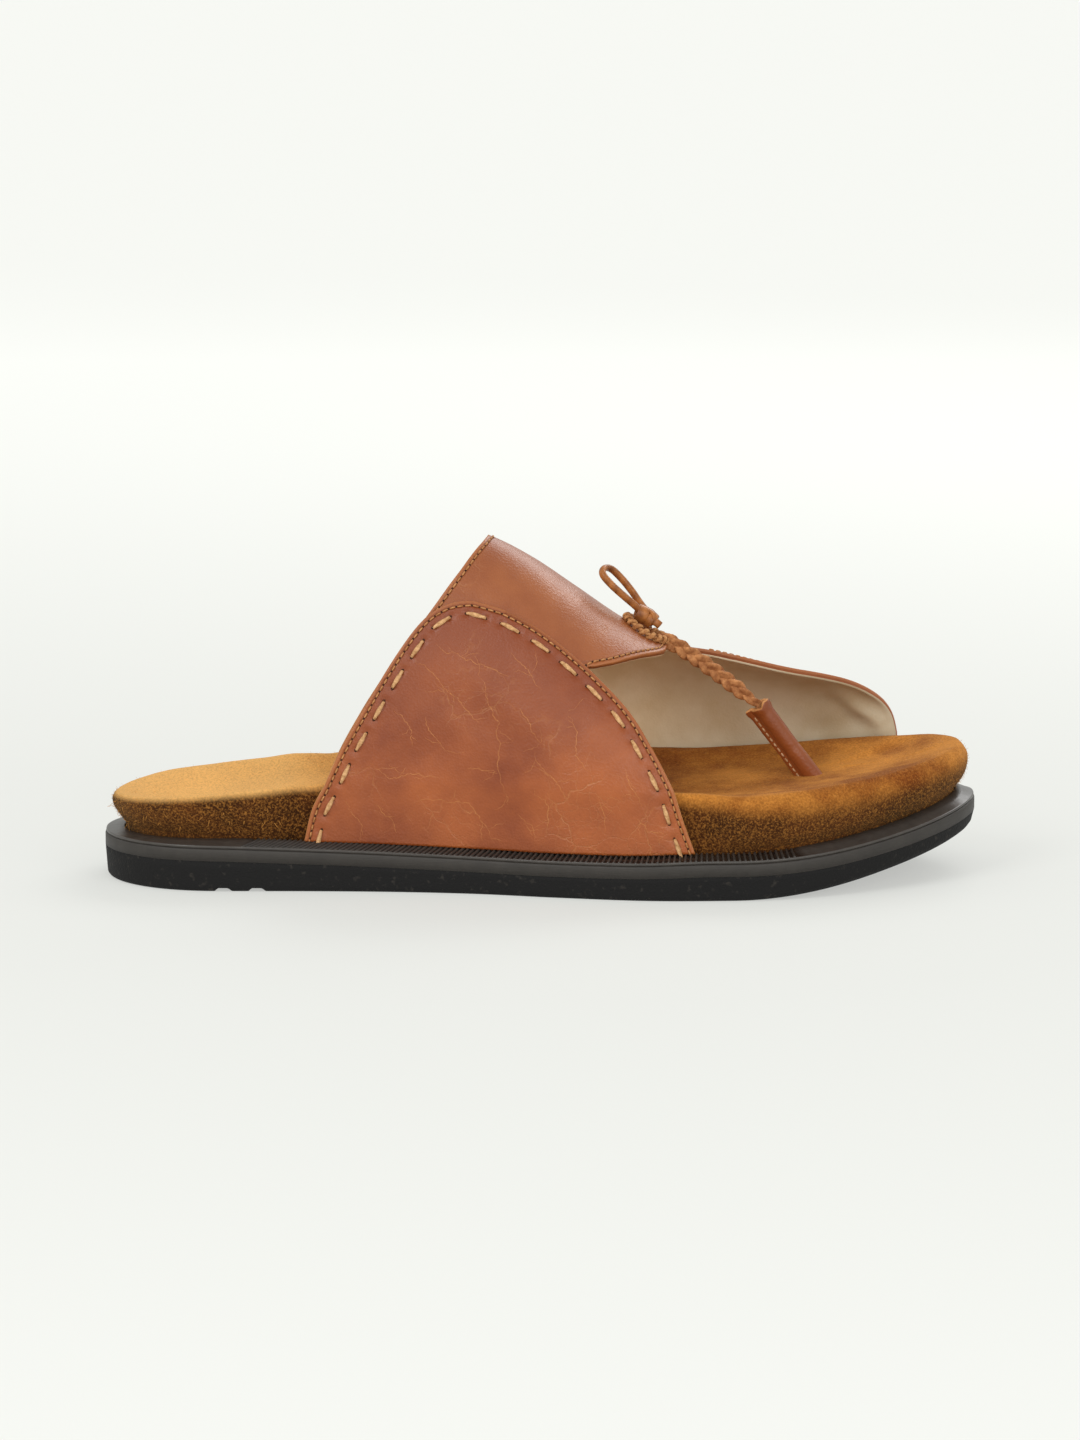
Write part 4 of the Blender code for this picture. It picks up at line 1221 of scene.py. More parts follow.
def plain_hide(name, light, dark, roughness, stain_mm, bump):
    """A plain hide, cut edge or waxed thread with stains of a given width and a fine fibre. Real
    fibre is 0.1 mm thick. It is drawn 0.714 mm wide, so that it shows."""
    made, tree, shader = new_finish(name, Roughness=roughness, Specular_IOR_Level=0.3)
    place = add_node(tree, "ShaderNodeTexCoord").outputs["Object"]
    stains = add_node(
        tree,
        "ShaderNodeTexNoise",
        {"Vector": place, "Scale": pattern_scale(stain_mm), "Detail": 6.0, "Roughness": 0.6},
    )
    grain = add_node(
        tree, "ShaderNodeTexNoise", {"Vector": place, "Scale": pattern_scale(0.714), "Detail": 3.0}
    )
    share = add_node(
        tree, "ShaderNodeMapRange", {"Value": stains.outputs["Fac"], "From Min": 0.35, "From Max": 0.65}
    )
    tint = add_node(
        tree,
        "ShaderNodeMix",
        {0: share.outputs["Result"], 6: linear(dark), 7: linear(light)},
        data_type="RGBA",
    )
    rough = add_node(
        tree, "ShaderNodeBump", {"Height": grain.outputs["Fac"], "Strength": bump, "Distance": 0.0004}
    )
    tree.links.new(tint.outputs[2], shader.inputs["Base Color"])
    tree.links.new(rough.outputs["Normal"], shader.inputs["Normal"])
    return made


# The vamp's hide is cowhide filled with oil and wax, rubbed to a half gloss.
vamp_leather = pull_up_leather("waxed_pull_up_vamp", "#a15e33", "#834220", "#bd7f4b", "#ae6c3a", 0.42)
# Its cut edges are left raw, so they are paler, matt and fibrous.
raw_edge = plain_hide("raw_cut_edge", "#c98f58", "#a36a3a", 0.75, 6.25, 0.5)
# The lining is undyed goat leather: pale, smooth and a little stained. Painted shade darkens it
# towards the toe.
lining = plain_hide("beige_goat_lining", "#f6e4c4", "#e2caa2", 0.55, 22.22, 0.25)
tree = lining.node_tree
shader = tree.nodes["Principled BSDF"]
lining_tint = shader.inputs["Base Color"].links[0].from_socket
# Painted shade: the lining darkens towards the toe, from full colour at 15 mm to about half at 95 mm.
forward = add_node(
    tree, "ShaderNodeSeparateXYZ", {"Vector": add_node(tree, "ShaderNodeTexCoord").outputs["Object"]}
).outputs["X"]
toe_shade = add_node(
    tree,
    "ShaderNodeMapRange",
    {"Value": forward, "From Min": 0.015, "From Max": 0.095, "To Min": 1.0, "To Max": 0.52},
)
toe_shaded_lining = add_node(
    tree,
    "ShaderNodeMix",
    {0: 1.0, 6: lining_tint, 7: toe_shade.outputs["Result"]},
    data_type="RGBA",
    blend_type="MULTIPLY",
)
tree.links.new(toe_shaded_lining.outputs[2], shader.inputs["Base Color"])

lateral_u = np.linspace(0, FINE_U[0], 46, endpoint=False)
medial_u = np.linspace(FINE_U[1], 1, 46)[1:]
u = np.concatenate([lateral_u, np.linspace(*FINE_U, 134), medial_u])
rear = read(UPPER_REAR, np.minimum(u, 1 - u)) + MEDIAL_REAR_SHIFT * soft_step(0.5, 0.7, u)
front = read(UPPER_FRONT, u)
v = np.linspace(0, 1, 130)[None, :]
upper_share = rear[:, None] * (1 - v) + front[:, None] * v
upper_u = np.broadcast_to(u[:, None], upper_share.shape)
vamp_normal = upper_normal(upper_share, upper_u)
vamp_outer = upper_surface(upper_share, upper_u)
vamp_outer = vamp_outer - vamp_normal * folds(vamp_outer, WING_FOLDS)[..., None]
vamp_inner = vamp_outer - vamp_normal * UPPER_WALL
vamp = leather_wall(
    "vamp_and_wing",
    vamp_outer,
    vamp_inner,
    VAMP_EDGE_ROUND,
    vamp_leather,
    raw_edge,
    lining,
    feet=(0, len(u) - 1),
    turned=True,
)
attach(vamp, "root")
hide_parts("upper")

# The side panel: a second piece of the same leather laid over the vamp's outer side, cut as a
# rounded arch, with low folds where the foot bends. Its foot is held in the welt.
PANEL_THICKNESS = 0.0013
PANEL_EDGE_ROUND = 0.00012
PANEL = (  # height share, share and u of the rear edge, share and u of the front edge
    (0.00, 0.220, 0.011, 0.679, 0.011),
    (0.16, 0.232, 0.072, 0.664, 0.064),
    (0.34, 0.260, 0.128, 0.650, 0.118),
    (0.48, 0.290, 0.172, 0.630, 0.176),
    (0.68, 0.336, 0.240, 0.600, 0.236),
    (0.80, 0.362, 0.274, 0.562, 0.272),
    (0.88, 0.382, 0.291, 0.526, 0.292),
    (0.95, 0.402, 0.302, 0.490, 0.304),
    (1.00, 0.420, 0.308, 0.456, 0.309),
)
PANEL_FOLDS = (  # the same columns as the wing's folds
    (0.520, 0.120, 0.020, 0.0036, 1.35, 0.00024),
    (0.545, 0.200, 0.018, 0.0040, 1.70, 0.00014),
    (0.470, 0.215, 0.020, 0.0042, 2.50, 0.00020),
    (0.430, 0.170, 0.024, 0.0050, 2.70, 0.00022),
    (0.600, 0.110, 0.016, 0.0034, 1.25, 0.00020),
    (0.360, 0.130, 0.022, 0.0050, 0.60, 0.00024),
    (0.500, 0.060, 0.030, 0.0060, 0.10, 0.00030),
    (0.300, 0.080, 0.014, 0.0034, 1.80, 0.00018),
)
rows = np.linspace(0, 1, 110)[:, None]
w = np.linspace(0, 1, 140)[None, :]
panel_share = read(PANEL, rows, 1) * (1 - w) + read(PANEL, rows, 3) * w
panel_u = read(PANEL, rows, 2) * (1 - w) + read(PANEL, rows, 4) * w
panel_normal = upper_normal(panel_share, panel_u)
panel_base = upper_surface(panel_share, panel_u)
panel_lift = FIT_GAP + PANEL_THICKNESS - folds(panel_base, PANEL_FOLDS)
panel_outer = panel_base + panel_normal * panel_lift[..., None]
panel_inner = panel_base + panel_normal * FIT_GAP

BIG_STITCH_PITCH = 0.01155
BIG_STITCH_LENGTH = 0.0066
BIG_STITCH_INSET = 0.0044
BIG_STITCH_START = 0.0034
DIMPLE_DEPTH = 0.0006
DIMPLE_RADIUS = 0.0013


def edge_run(grid, normals):
    """The panel's or vamp's edge once round from the front foot over the top to the rear foot."""
    lap = [(i, -1) for i in range(len(grid))] + [(-1, j) for j in range(grid.shape[1] - 2, 0, -1)]
    lap += [(i, 0) for i in range(len(grid) - 1, -1, -1)]
    return np.array([grid[i, j] for i, j in lap]), np.array([normals[i, j] for i, j in lap])


def inset_line(border, normals, inset, pitch, start=0.0, end=0.0):
    """Spots at even pitch along a line that runs inset inside an edge, with their directions."""
    along = np.gradient(border, axis=0)
    along /= np.linalg.norm(along, axis=1, keepdims=True)
    inwards = np.cross(normals, along)
    line = border + inwards * inset
    for _ in range(12):
        line[1:-1] = 0.25 * line[:-2] + 0.5 * line[1:-1] + 0.25 * line[2:]
    steps = np.concatenate([[0], np.cumsum(np.linalg.norm(np.diff(line, axis=0), axis=1))])
    spots = np.arange(start, steps[-1] - end, pitch)
    found = []
    for distance in spots:
        spot = np.array([np.interp(distance, steps, line[:, k]) for k in range(3)])
        ahead = np.array([np.interp(distance + 0.001, steps, line[:, k]) for k in range(3)])
        behind = np.array([np.interp(distance - 0.001, steps, line[:, k]) for k in range(3)])
        found.append((Vector(spot), Vector(ahead - behind).normalized()))
    return found


def surface_tree(piece):
    """A search tree over a piece's faces."""
    mesh = piece.data
    return BVHTree.FromPolygons([v.co for v in mesh.vertices], [p.vertices for p in mesh.polygons])


def on_surface(spots, piece, lift):
    """Drops spots on a piece's outer face and gives place, direction, normal and scale for copies."""
    tree = surface_tree(piece)
    places = []
    for spot, along in spots:
        hit, normal, _, _ = tree.find_nearest(spot)
        places.append((hit + normal * lift, along, normal, 1.0))
    return places


panel_border, panel_border_normal = edge_run(panel_outer, panel_normal)
big_spots = inset_line(
    panel_border, panel_border_normal, BIG_STITCH_INSET, BIG_STITCH_PITCH, BIG_STITCH_START
)
dimples = kdtree.KDTree(2 * len(big_spots))
for number, (spot, along) in enumerate(big_spots):
    dimples.insert(spot + along * BIG_STITCH_LENGTH / 2, 2 * number)
    dimples.insert(spot - along * BIG_STITCH_LENGTH / 2, 2 * number + 1)
dimples.balance()
pull = np.array([dimples.find(point)[2] for point in panel_outer.reshape(-1, 3)])
dimple = DIMPLE_DEPTH * np.exp(-((pull.reshape(panel_outer.shape[:2]) / DIMPLE_RADIUS) ** 2))
panel_outer = panel_outer - panel_normal * dimple[..., None]
# The panel is cut from a redder part of the hide, and painted shade darkens its top.
panel_leather = pull_up_leather("waxed_pull_up_panel", "#a65726", "#7a3510", "#bd7f49", "#b4713c", 0.40, 0.75)
panel = leather_wall(
    "side_panel_leather",
    panel_outer,
    panel_inner,
    PANEL_EDGE_ROUND,
    panel_leather,
    raw_edge,
    raw_edge,
    feet=(0,),
)
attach(panel, "root")
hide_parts("side_panel")

# The veins: fine pale lines where the wax has broken over old scars and growth marks in the hide.
# They stand a hair above the panel, wander, fork and run out to nothing.
VEIN_WIDTH = 0.00022
VEIN_RISE = 0.00004
VEIN_STEP = 0.0005
VEIN_STRAY = 0.00020
VEIN_SUNK = 0.00002
VEIN_SEED = 23
FORK_STRENGTH = 0.62
FORK_REACH = (0.003, 0.009)
VEINS = (  # each vein: the x and height of its corners, in millimetres
    ((-20, 70), (-18, 66), (-17, 60), (-14, 55), (-13, 50), (-13, 43), (-13, 37), (-11, 31)),
    ((-31, 65), (-27, 62), (-23, 57), (-19, 54)),
    ((-40, 73), (-34, 69), (-31, 64)),
    ((-7, 60), (-5, 57), (-2, 52), (1, 48)),
    ((-2, 46), (0, 41), (3, 38), (6, 35), (9, 30)),
    ((-55, 41), (-50, 37), (-43, 38), (-36, 37), (-30, 37)),
    ((-44, 28), (-38, 29), (-30, 28), (-24, 29), (-20, 26), (-17, 22), (-15, 16)),
    ((-24, 40), (-14, 39)),
    ((1, 33), (2, 27), (1, 20)),
    ((-53, 28), (-48, 23), (-46, 18)),
    ((-37, 56), (-33, 49), (-30, 45)),
    ((-30, 78), (-24, 74), (-17, 71), (-10, 69)),
    ((8, 58), (11, 52), (12, 46), (16, 40)),
    ((17, 34), (20, 27), (20, 21)),
    ((-8, 26), (-3, 22), (-2, 17)),
    ((26, 42), (28, 35), (32, 29)),
    ((-62, 26), (-58, 22), (-57, 17)),
    ((-47, 58), (-42, 52), (-41, 46)),
    ((-10, 76), (-4, 71), (0, 65)),
    ((30, 26), (34, 22), (40, 21)),
)
draw = np.random.default_rng(VEIN_SEED)


def wander(corners):
    """Spots along a broken line, VEIN_STEP apart, that stray from it at random."""
    corners = np.asarray(corners, float)
    run = np.concatenate([[0], np.cumsum(np.linalg.norm(np.diff(corners, axis=0), axis=1))])
    at = np.arange(0, run[-1], VEIN_STEP)
    line = np.stack([np.interp(at, run, corners[:, k]) for k in (0, 1)], -1)
    stray = np.cumsum(draw.normal(0, VEIN_STRAY, line.shape), axis=0)
    return line + stray - np.linspace(0, 1, len(line))[:, None] * stray[-1]


vein_lines = []
for corners in VEINS:
    main = wander(np.array(corners) / 1000)
    vein_lines.append((main, 1.0))
    for _ in range(max(2, len(main) // 12)):
        root_spot = main[int(draw.integers(len(main)))]
        heading = draw.uniform(0, 2 * math.pi)
        reach = draw.uniform(*FORK_REACH)
        turn = heading + draw.uniform(-0.9, 0.9)
        middle = root_spot + reach / 2 * np.array([math.cos(heading), math.sin(heading)])
        end = middle + reach / 2 * np.array([math.cos(turn), math.sin(turn)])
        vein_lines.append((wander((root_spot, middle, end)), FORK_STRENGTH))
panel_tree = surface_tree(panel)
vein_points, vein_faces = [], []
for line, strength in vein_lines:
    spots = []
    for x, z in line:
        hit, normal, _, _ = panel_tree.ray_cast(Vector((x, -0.2, z)), Vector((0, 1, 0)))
        if hit is not None and normal.y < -0.1:
            spots.append((hit, normal))
    if len(spots) < 5:
        continue
    for k, (hit, normal) in enumerate(spots):
        ahead = spots[min(k + 1, len(spots) - 1)][0] - spots[max(k - 1, 0)][0]
        beside = normal.cross(ahead).normalized()
        taper = math.sin(math.pi * (k + 0.3) / (len(spots) - 0.4)) ** 0.5
        half = VEIN_WIDTH / 2 * strength * taper * draw.uniform(0.5, 1.35)
        sunk = hit - normal * VEIN_SUNK
        vein_points += [sunk - beside * half, hit + normal * VEIN_RISE * taper, sunk + beside * half]
    first = len(vein_points) - 3 * len(spots)
    vein_faces += [tuple(f) for f in grid_faces(len(spots), 3, first=first)[:, ::-1]]
# Where the wax has broken, the paler hide below shows through, a little duller than the polish.
vein_finish = plain_hide("broken_wax_vein", "#c28149", "#a86836", 0.5, 8.33, 0.2)
veins = new_piece("leather_veins", [tuple(p) for p in vein_points], vein_faces, vein_finish)
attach(veins, "root")

# The hand stitches: a thick waxed linen thread of two twisted plies, sewn by hand through punched
# holes round the panel. Each stitch dives into a hole at either end.
THREAD_HALF_WIDTH = 0.00064
THREAD_HALF_HEIGHT = 0.00056
THREAD_RISE = 0.00060
THREAD_DIVE = 0.00048
THREAD_LIFT = 0.0002
THREAD_PLIES = 0.16
HOLE_LENGTH = 0.0013
HOLE_HALF_WIDTH = 0.0006
HOLE_HALF_HEIGHT = 0.00004
HOLE_LIFT = 0.00002
# Linen rubbed with beeswax: pale tan with dirt between the plies and only a soft gloss.
waxed_thread = plain_hide("waxed_linen_thread", "#d8aa78", "#a97a4c", 0.6, 1.11, 0.7)


def thread_profile(t):
    """A thick stitch of two plies whose ends dive into the holes."""
    end = 1 - abs(2 * t) ** 7
    full = 0.6 + 0.4 * end
    return THREAD_HALF_WIDTH * full, THREAD_HALF_HEIGHT * full, THREAD_RISE * end - THREAD_DIVE, THREAD_PLIES


def hole_profile(t):
    """A thin dark lens that lies on the leather."""
    return HOLE_HALF_WIDTH * (1 - 3 * t * t), HOLE_HALF_HEIGHT, 0, 0


big_pattern = bar_pattern("big_stitch_pattern", np.linspace(-0.5, 0.5, 19), 14, thread_profile)
big_places = on_surface(big_spots, panel, THREAD_LIFT)
big_stitches = copies_along(
    "hand_stitches", big_pattern, big_places, (BIG_STITCH_LENGTH, 1.0, 1.0), waxed_thread
)
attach(big_stitches, "root")

# The wall of a hole is bare hide in shadow: dark and quite matt.
hole_finish = plain_hide("punched_hole", "#4a2412", "#301709", 0.9, 2.5, 0.2)
hole_spots = []
for spot, along in big_spots:
    hole_spots += [(spot + along * side * BIG_STITCH_LENGTH * 0.5, along) for side in (-1, 1)]
hole_pattern = bar_pattern("hole_pattern", (-0.5, -0.35, 0.0, 0.35, 0.5), 10, hole_profile)
hole_places = on_surface(hole_spots, panel, HOLE_LIFT)
big_holes = copies_along("hand_stitch_holes", hole_pattern, hole_places, (HOLE_LENGTH, 1.0, 1.0), hole_finish)
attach(big_holes, "root")

# The machine seams: a fine bonded thread with a needle hole between each two stitches, along the
# panel's edge, the vamp's rear and front edges and the wing's top, sewn before the shoe is lasted.
SEAM_PITCH = 0.0025
SEAM_STITCH = 0.0019
SEAM_HALF_WIDTH = 0.00028
SEAM_HALF_HEIGHT = 0.00024
SEAM_RISE = 0.00026
SEAM_DIVE = 0.00016
SEAM_LIFT = 0.0001
SEAM_PLIES = 0.08
SEAM_END = 0.002
NEEDLE_HOLE = 0.0009
NEEDLE_HALF_WIDTH = 0.00042
NEEDLE_HALF_HEIGHT = 0.00003
WING_SEAM_INSET = 0.0030
WING_SEAM_START = 0.018
# Bonded thread is smooth and tan, and dulled by dust and wax.
seam_thread = plain_hide("seam_thread", "#c08a56", "#9a6437", 0.65, 1.11, 0.5)


def seam_profile(t):
    """A fine stitch whose ends dive into the needle holes."""
    end = 1 - abs(2 * t) ** 3
    return SEAM_HALF_WIDTH * (0.6 + 0.4 * end), SEAM_HALF_HEIGHT, SEAM_RISE * end - SEAM_DIVE, SEAM_PLIES


def needle_profile(t):
    """A thin dark lens, smaller and rounder than a punched hole."""
    return NEEDLE_HALF_WIDTH * (1 - 2.4 * t * t), NEEDLE_HALF_HEIGHT, 0, 0


def machine_seam(name, edge, start, end, inset, piece):
    """Stitches and needle holes along a line inside an edge of a piece."""
    spots = inset_line(*edge, inset, SEAM_PITCH, start, end)
    thread_pattern = bar_pattern(name + "_pattern", np.linspace(-0.5, 0.5, 7), 8, seam_profile)
    thread_places = on_surface(spots, piece, SEAM_LIFT)
    thread = copies_along(name, thread_pattern, thread_places, (SEAM_STITCH, 1.0, 1.0), seam_thread)
    between = [(spot + along * SEAM_PITCH / 2, along) for spot, along in spots]
    needle_pattern = bar_pattern(name + "_hole", (-0.5, -0.3, 0.3, 0.5), 8, needle_profile)
    needle_places = on_surface(between, piece, HOLE_LIFT)
    holes = copies_along(name + "_holes", needle_pattern, needle_places, (NEEDLE_HOLE, 1.0, 1.0), hole_finish)
    for made in (thread, holes):
        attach(made, "root")


panel_edge = (panel_border, panel_border_normal)
vamp_rear = (vamp_outer[::-1, 0], vamp_normal[::-1, 0])
apex = int(np.searchsorted(u, 0.49))
vamp_front = (vamp_outer[:apex, -1], vamp_normal[:apex, -1])
wing_top = (vamp_outer[apex:, -1], vamp_normal[apex:, -1])
machine_seam("panel_seam", panel_edge, SEAM_END / 2, 0.0, SEAM_INSET, panel)
machine_seam("vamp_rear_seam", vamp_rear, SEAM_END, SEAM_END, SEAM_INSET, vamp)
machine_seam("vamp_front_seam", vamp_front, SEAM_END, SEAM_END, SEAM_INSET, vamp)
machine_seam("wing_seam", wing_top, WING_SEAM_START, SEAM_END, WING_SEAM_INSET, vamp)

# The toe post: a strip of dark leather folded round the braid's end and sewn along a flange at
# its back. Its mouth is cut raw, and its foot is glued into the footbed.
POST_SHARE = 0.806
POST_SIDE = 0.0070
POST_LENGTH = 0.0293
POST_LEAN = 0.640
POST_SIDE_LEAN = 0.053
POST_FORWARD = 0.0015
POST_RADIUS = 0.0030
POST_WALL = 0.0009
POST_FLANGE = 0.0018
POST_SEAT_DEPTH = 0.0030
POST_BORE_DEPTH = 0.0055
POST_STEPS = 64
NO_EDGE_MM = 9.0  # no part of the sleeve counts as a worn edge
FLANGE_PITCH = 0.0021
FLANGE_STITCH = 0.0015
FLANGE_SEAM_SIDE = 0.002
post_dish = read(FOOTBED, POST_SHARE, 3) * read(FOOTBED_TOP, FOOTBED_TOP[-1][0])
post_height = sum(float(rim_height(POST_SHARE, side) - post_dish) for side in (-1, 1))
post_seat = Vector((float(plan(POST_SHARE, 1, 0.0)[0]) + POST_FORWARD, POST_SIDE, post_height / 2))
post_up = Vector((-math.sin(POST_LEAN), -POST_SIDE_LEAN, math.cos(POST_LEAN))).normalized()
post_rear = post_up.cross(Vector((0, 1, 0))).normalized()
post_side = post_up.cross(post_rear)
post_mouth = post_seat + post_up * POST_LENGTH


def post_ring(along, radius, flange, ragged=0.0):
    """One ring round the sleeve: round, with a thin flange behind."""
    angles = np.linspace(0, 2 * math.pi, POST_STEPS, endpoint=False)
    fin = np.exp(-((np.minimum(angles, 2 * math.pi - angles) / 0.26) ** 4))
    reach = radius + flange * fin
    points = []
    for angle, distance in zip(angles, reach):
        height = along + ragged * math.sin(3 * angle + 0.7) + 0.4 * ragged * math.sin(7 * angle)
        spot = post_seat + post_up * height + post_rear * distance * math.cos(angle)
        points.append(spot + post_side * distance * math.sin(angle))
    return points


post_rings = []
for t in np.linspace(0, 1, 60):
    along = -POST_SEAT_DEPTH + t * (POST_LENGTH + POST_SEAT_DEPTH - 0.0002)
    # The folded strip is a little uneven, with a dent where the toes pinch it.
    wobble = 1 + 0.02 * math.sin(9 * t) - 0.025 * math.exp(-(((t - 0.45) / 0.04) ** 2))
    flare = 0.0006 * soft_step(0.90, 1.0, t)
    post_rings.append(post_ring(along, POST_RADIUS * wobble + flare, POST_FLANGE, 0.0005 * t**6))
outer_count = len(post_rings)
post_rings.append(post_ring(POST_LENGTH + 0.0002, POST_RADIUS + 0.0004, POST_FLANGE * 0.9, 0.0006))
post_rings.append(post_ring(POST_LENGTH + 0.0001, POST_RADIUS - 0.0003, POST_FLANGE * 0.4, 0.0006))
post_rings.append(post_ring(POST_LENGTH, POST_RADIUS - POST_WALL, 0.0, 0.0003))
for depth in (0.001, 0.003, POST_BORE_DEPTH):
    post_rings.append(post_ring(POST_LENGTH - depth, POST_RADIUS - POST_WALL, 0.0))
post_faces = list(grid_faces(len(post_rings), POST_STEPS, wrap_columns=True))
post_faces.append(tuple(range(POST_STEPS))[::-1])
post_faces.append(tuple(range(POST_STEPS * (len(post_rings) - 1), POST_STEPS * len(post_rings))))
# The sleeve is cut from thinner, darker hide of the same kind, polished by the toes.
sleeve_leather = pull_up_leather("dark_sleeve_leather", "#945026", "#763917", "#9c5d36", "#a06234", 0.36)
sleeve = new_piece("toe_post_sleeve", np.array(post_rings), post_faces, sleeve_leather, raw_edge)
mouth_slots = [0] * POST_STEPS * (outer_count - 1) + [1] * POST_STEPS * (len(post_rings) - outer_count)
sleeve.data.polygons.foreach_set("material_index", mouth_slots + [0, 1])
paint(sleeve, "edge_mm", np.full(len(sleeve.data.vertices), NO_EDGE_MM))
merge_close(sleeve)
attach(sleeve, "root")
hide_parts("toe_post")

flange_spots = []
flange_line = post_seat + post_rear * (POST_RADIUS + POST_FLANGE * 0.45)
for side in (-1, 1):
    for along in np.arange(0.001, POST_LENGTH - 0.001, FLANGE_PITCH):
        flange_spots.append((flange_line + post_up * along + post_side * side * FLANGE_SEAM_SIDE, post_up))
flange_pattern = bar_pattern("flange_pattern", np.linspace(-0.5, 0.5, 7), 8, seam_profile)
# The sleeve's seam is sewn with a paler bonded thread, matt with dust.
flange_thread = plain_hide("sleeve_thread", "#c9a07a", "#9c7450", 0.65, 1.11, 0.5)
flange_places = on_surface(flange_spots, sleeve, SEAM_LIFT)
flange_seam = copies_along(
    "sleeve_seam", flange_pattern, flange_places, (FLANGE_STITCH, 1.0, 1.0), flange_thread
)
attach(flange_seam, "root")

# The thong: three flat strands of raw-edged hide, plaited. It leaves the lace ring over the vamp's
# front lip, hangs in a slight bow, and is drawn into the sleeve's mouth and glued there.
BRAID_START = (0.0007, -0.0035, -0.0010)
BRAID_BOW = (  # share of the way, rise above the straight line
    (0.00, 0.0000),
    (0.19, 0.0014),
    (0.44, 0.0011),
    (0.68, 0.0006),
    (0.88, 0.0000),
    (1.00, 0.0000),
)
BRAID_OVER_LIP = (  # share of the length, u and height above the vamp where the braid leaves the ring
    (0.6400, 0.494, 0.0007),
    (0.6500, 0.488, 0.0009),
    (0.6600, 0.482, 0.0008),
)
PLAIT_REPEAT = 0.0138
STRAND_WIDTH = 0.0027
STRAND_THICKNESS = 0.0014
STRAND_SWING = 0.00140
STRAND_DIVE = 0.00070
STRAND_TILT = 0.55
BRAID_NARROWING = 0.42  # the plait is pressed together towards the sleeve


def swept(centres, broad, half_width_at, half_thickness_at, steps=12, square=0.72):
    """Rings of a rounded strap along a path. broad gives the direction of its width at each point."""
    centres = np.asarray(centres)
    along = np.gradient(centres, axis=0)
    along /= np.linalg.norm(along, axis=1, keepdims=True)
    broad = broad - along * np.sum(broad * along, axis=1, keepdims=True)
    broad /= np.linalg.norm(broad, axis=1, keepdims=True)
    thin = np.cross(along, broad)
    turns = np.linspace(0, 2 * math.pi, steps, endpoint=False)
    cosine = np.sign(np.cos(turns)) * np.abs(np.cos(turns)) ** square
    sine = np.sign(np.sin(turns)) * np.abs(np.sin(turns)) ** square
    half_width_at = np.broadcast_to(half_width_at, len(centres))[:, None, None]
    half_thickness_at = np.broadcast_to(half_thickness_at, len(centres))[:, None, None]
    rings = centres[:, None] + broad[:, None] * half_width_at * cosine[None, :, None]
    return rings + thin[:, None] * half_thickness_at * sine[None, :, None]


def strap_faces(count, steps, first=0):
    """Faces of one capped strap whose vertices start at first."""
    faces = [tuple(f) for f in grid_faces(count, steps, wrap_columns=True, first=first)]
    faces.append(tuple(range(first, first + steps))[::-1])
    faces.append(tuple(range(first + steps * (count - 1), first + steps * count)))
    return faces


braid_start = Vector(upper_surface(read(UPPER_FRONT, 0.5), np.array(0.5))) + Vector(BRAID_START)
braid_end = post_mouth - post_up * (POST_BORE_DEPTH - FIT_GAP)
bow_share = np.linspace(0, 1, 120)
reach = np.array(post_mouth) - np.array(braid_start)
straight = np.array(braid_start)[None] + reach[None] * bow_share[:, None]
straight[:, 2] += read(BRAID_BOW, bow_share)
into_sleeve = np.linspace(post_mouth, braid_end, 16)[1:]
over_lip = []
for share, around, lift in BRAID_OVER_LIP:
    spot = upper_surface(np.array(share), np.array(around))
    over_lip.append(spot + upper_normal(np.array(share), np.array(around)) * lift)
bends = np.concatenate([over_lip, straight[18::14], into_sleeve[::5]])
bend_at = np.concatenate([[0], np.cumsum(np.linalg.norm(np.diff(bends, axis=0), axis=1))])
fine = np.linspace(0, bend_at[-1], 400)
route = np.stack([read([(a, b[k]) for a, b in zip(bend_at, bends)], fine) for k in range(3)], -1)
run = np.concatenate([[0], np.cumsum(np.linalg.norm(np.diff(route, axis=0), axis=1))])
even = np.linspace(0, run[-1], 250)
route = np.stack([np.interp(even, run, route[:, k]) for k in range(3)], -1)
forward = np.gradient(route, axis=0)
forward /= np.linalg.norm(forward, axis=1, keepdims=True)
braid_broad = np.cross(forward, np.array([0, 1.0, 0]))
braid_broad /= np.linalg.norm(braid_broad, axis=1, keepdims=True)
braid_thin = np.cross(forward, braid_broad)
narrow = 1 - BRAID_NARROWING * soft_step(0.70, 0.88, even / even[-1])
braid_points, braid_faces = [], []
for strand in range(3):
    phase = 2 * math.pi * (even / PLAIT_REPEAT + strand / 3)
    swing = STRAND_SWING * np.sin(phase) * narrow
    dive = STRAND_DIVE * np.sin(2 * phase) * narrow
    centres = route + braid_broad * swing[:, None] + braid_thin * dive[:, None]
    tilt = STRAND_TILT * np.cos(phase)
    strand_broad = braid_broad * np.cos(tilt)[:, None] + braid_thin * np.sin(tilt)[:, None]
    # The strand's raw edges fray in and out every millimetre or two.
    ragged = 1 + 0.06 * np.sin(even * 5200 + strand * 2.0) * np.sin(even * 2300 + strand)
    rings = swept(centres, strand_broad, STRAND_WIDTH / 2 * narrow * ragged, STRAND_THICKNESS / 2 * narrow)
    braid_faces += strap_faces(len(rings), 12, first=sum(len(p) for p in braid_points))
    braid_points.append(rings.reshape(-1, 3))
# Strands cut from oiled split hide: both faces are rough, so they are matt and mottled.
braid_hide = plain_hide("raw_braided_leather", "#c18553", "#8a532d", 0.8, 2.38, 0.8)
braid = new_piece("braided_thong", np.concatenate(braid_points), braid_faces, braid_hide)
merge_close(braid)
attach(braid, "root")
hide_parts("thong")

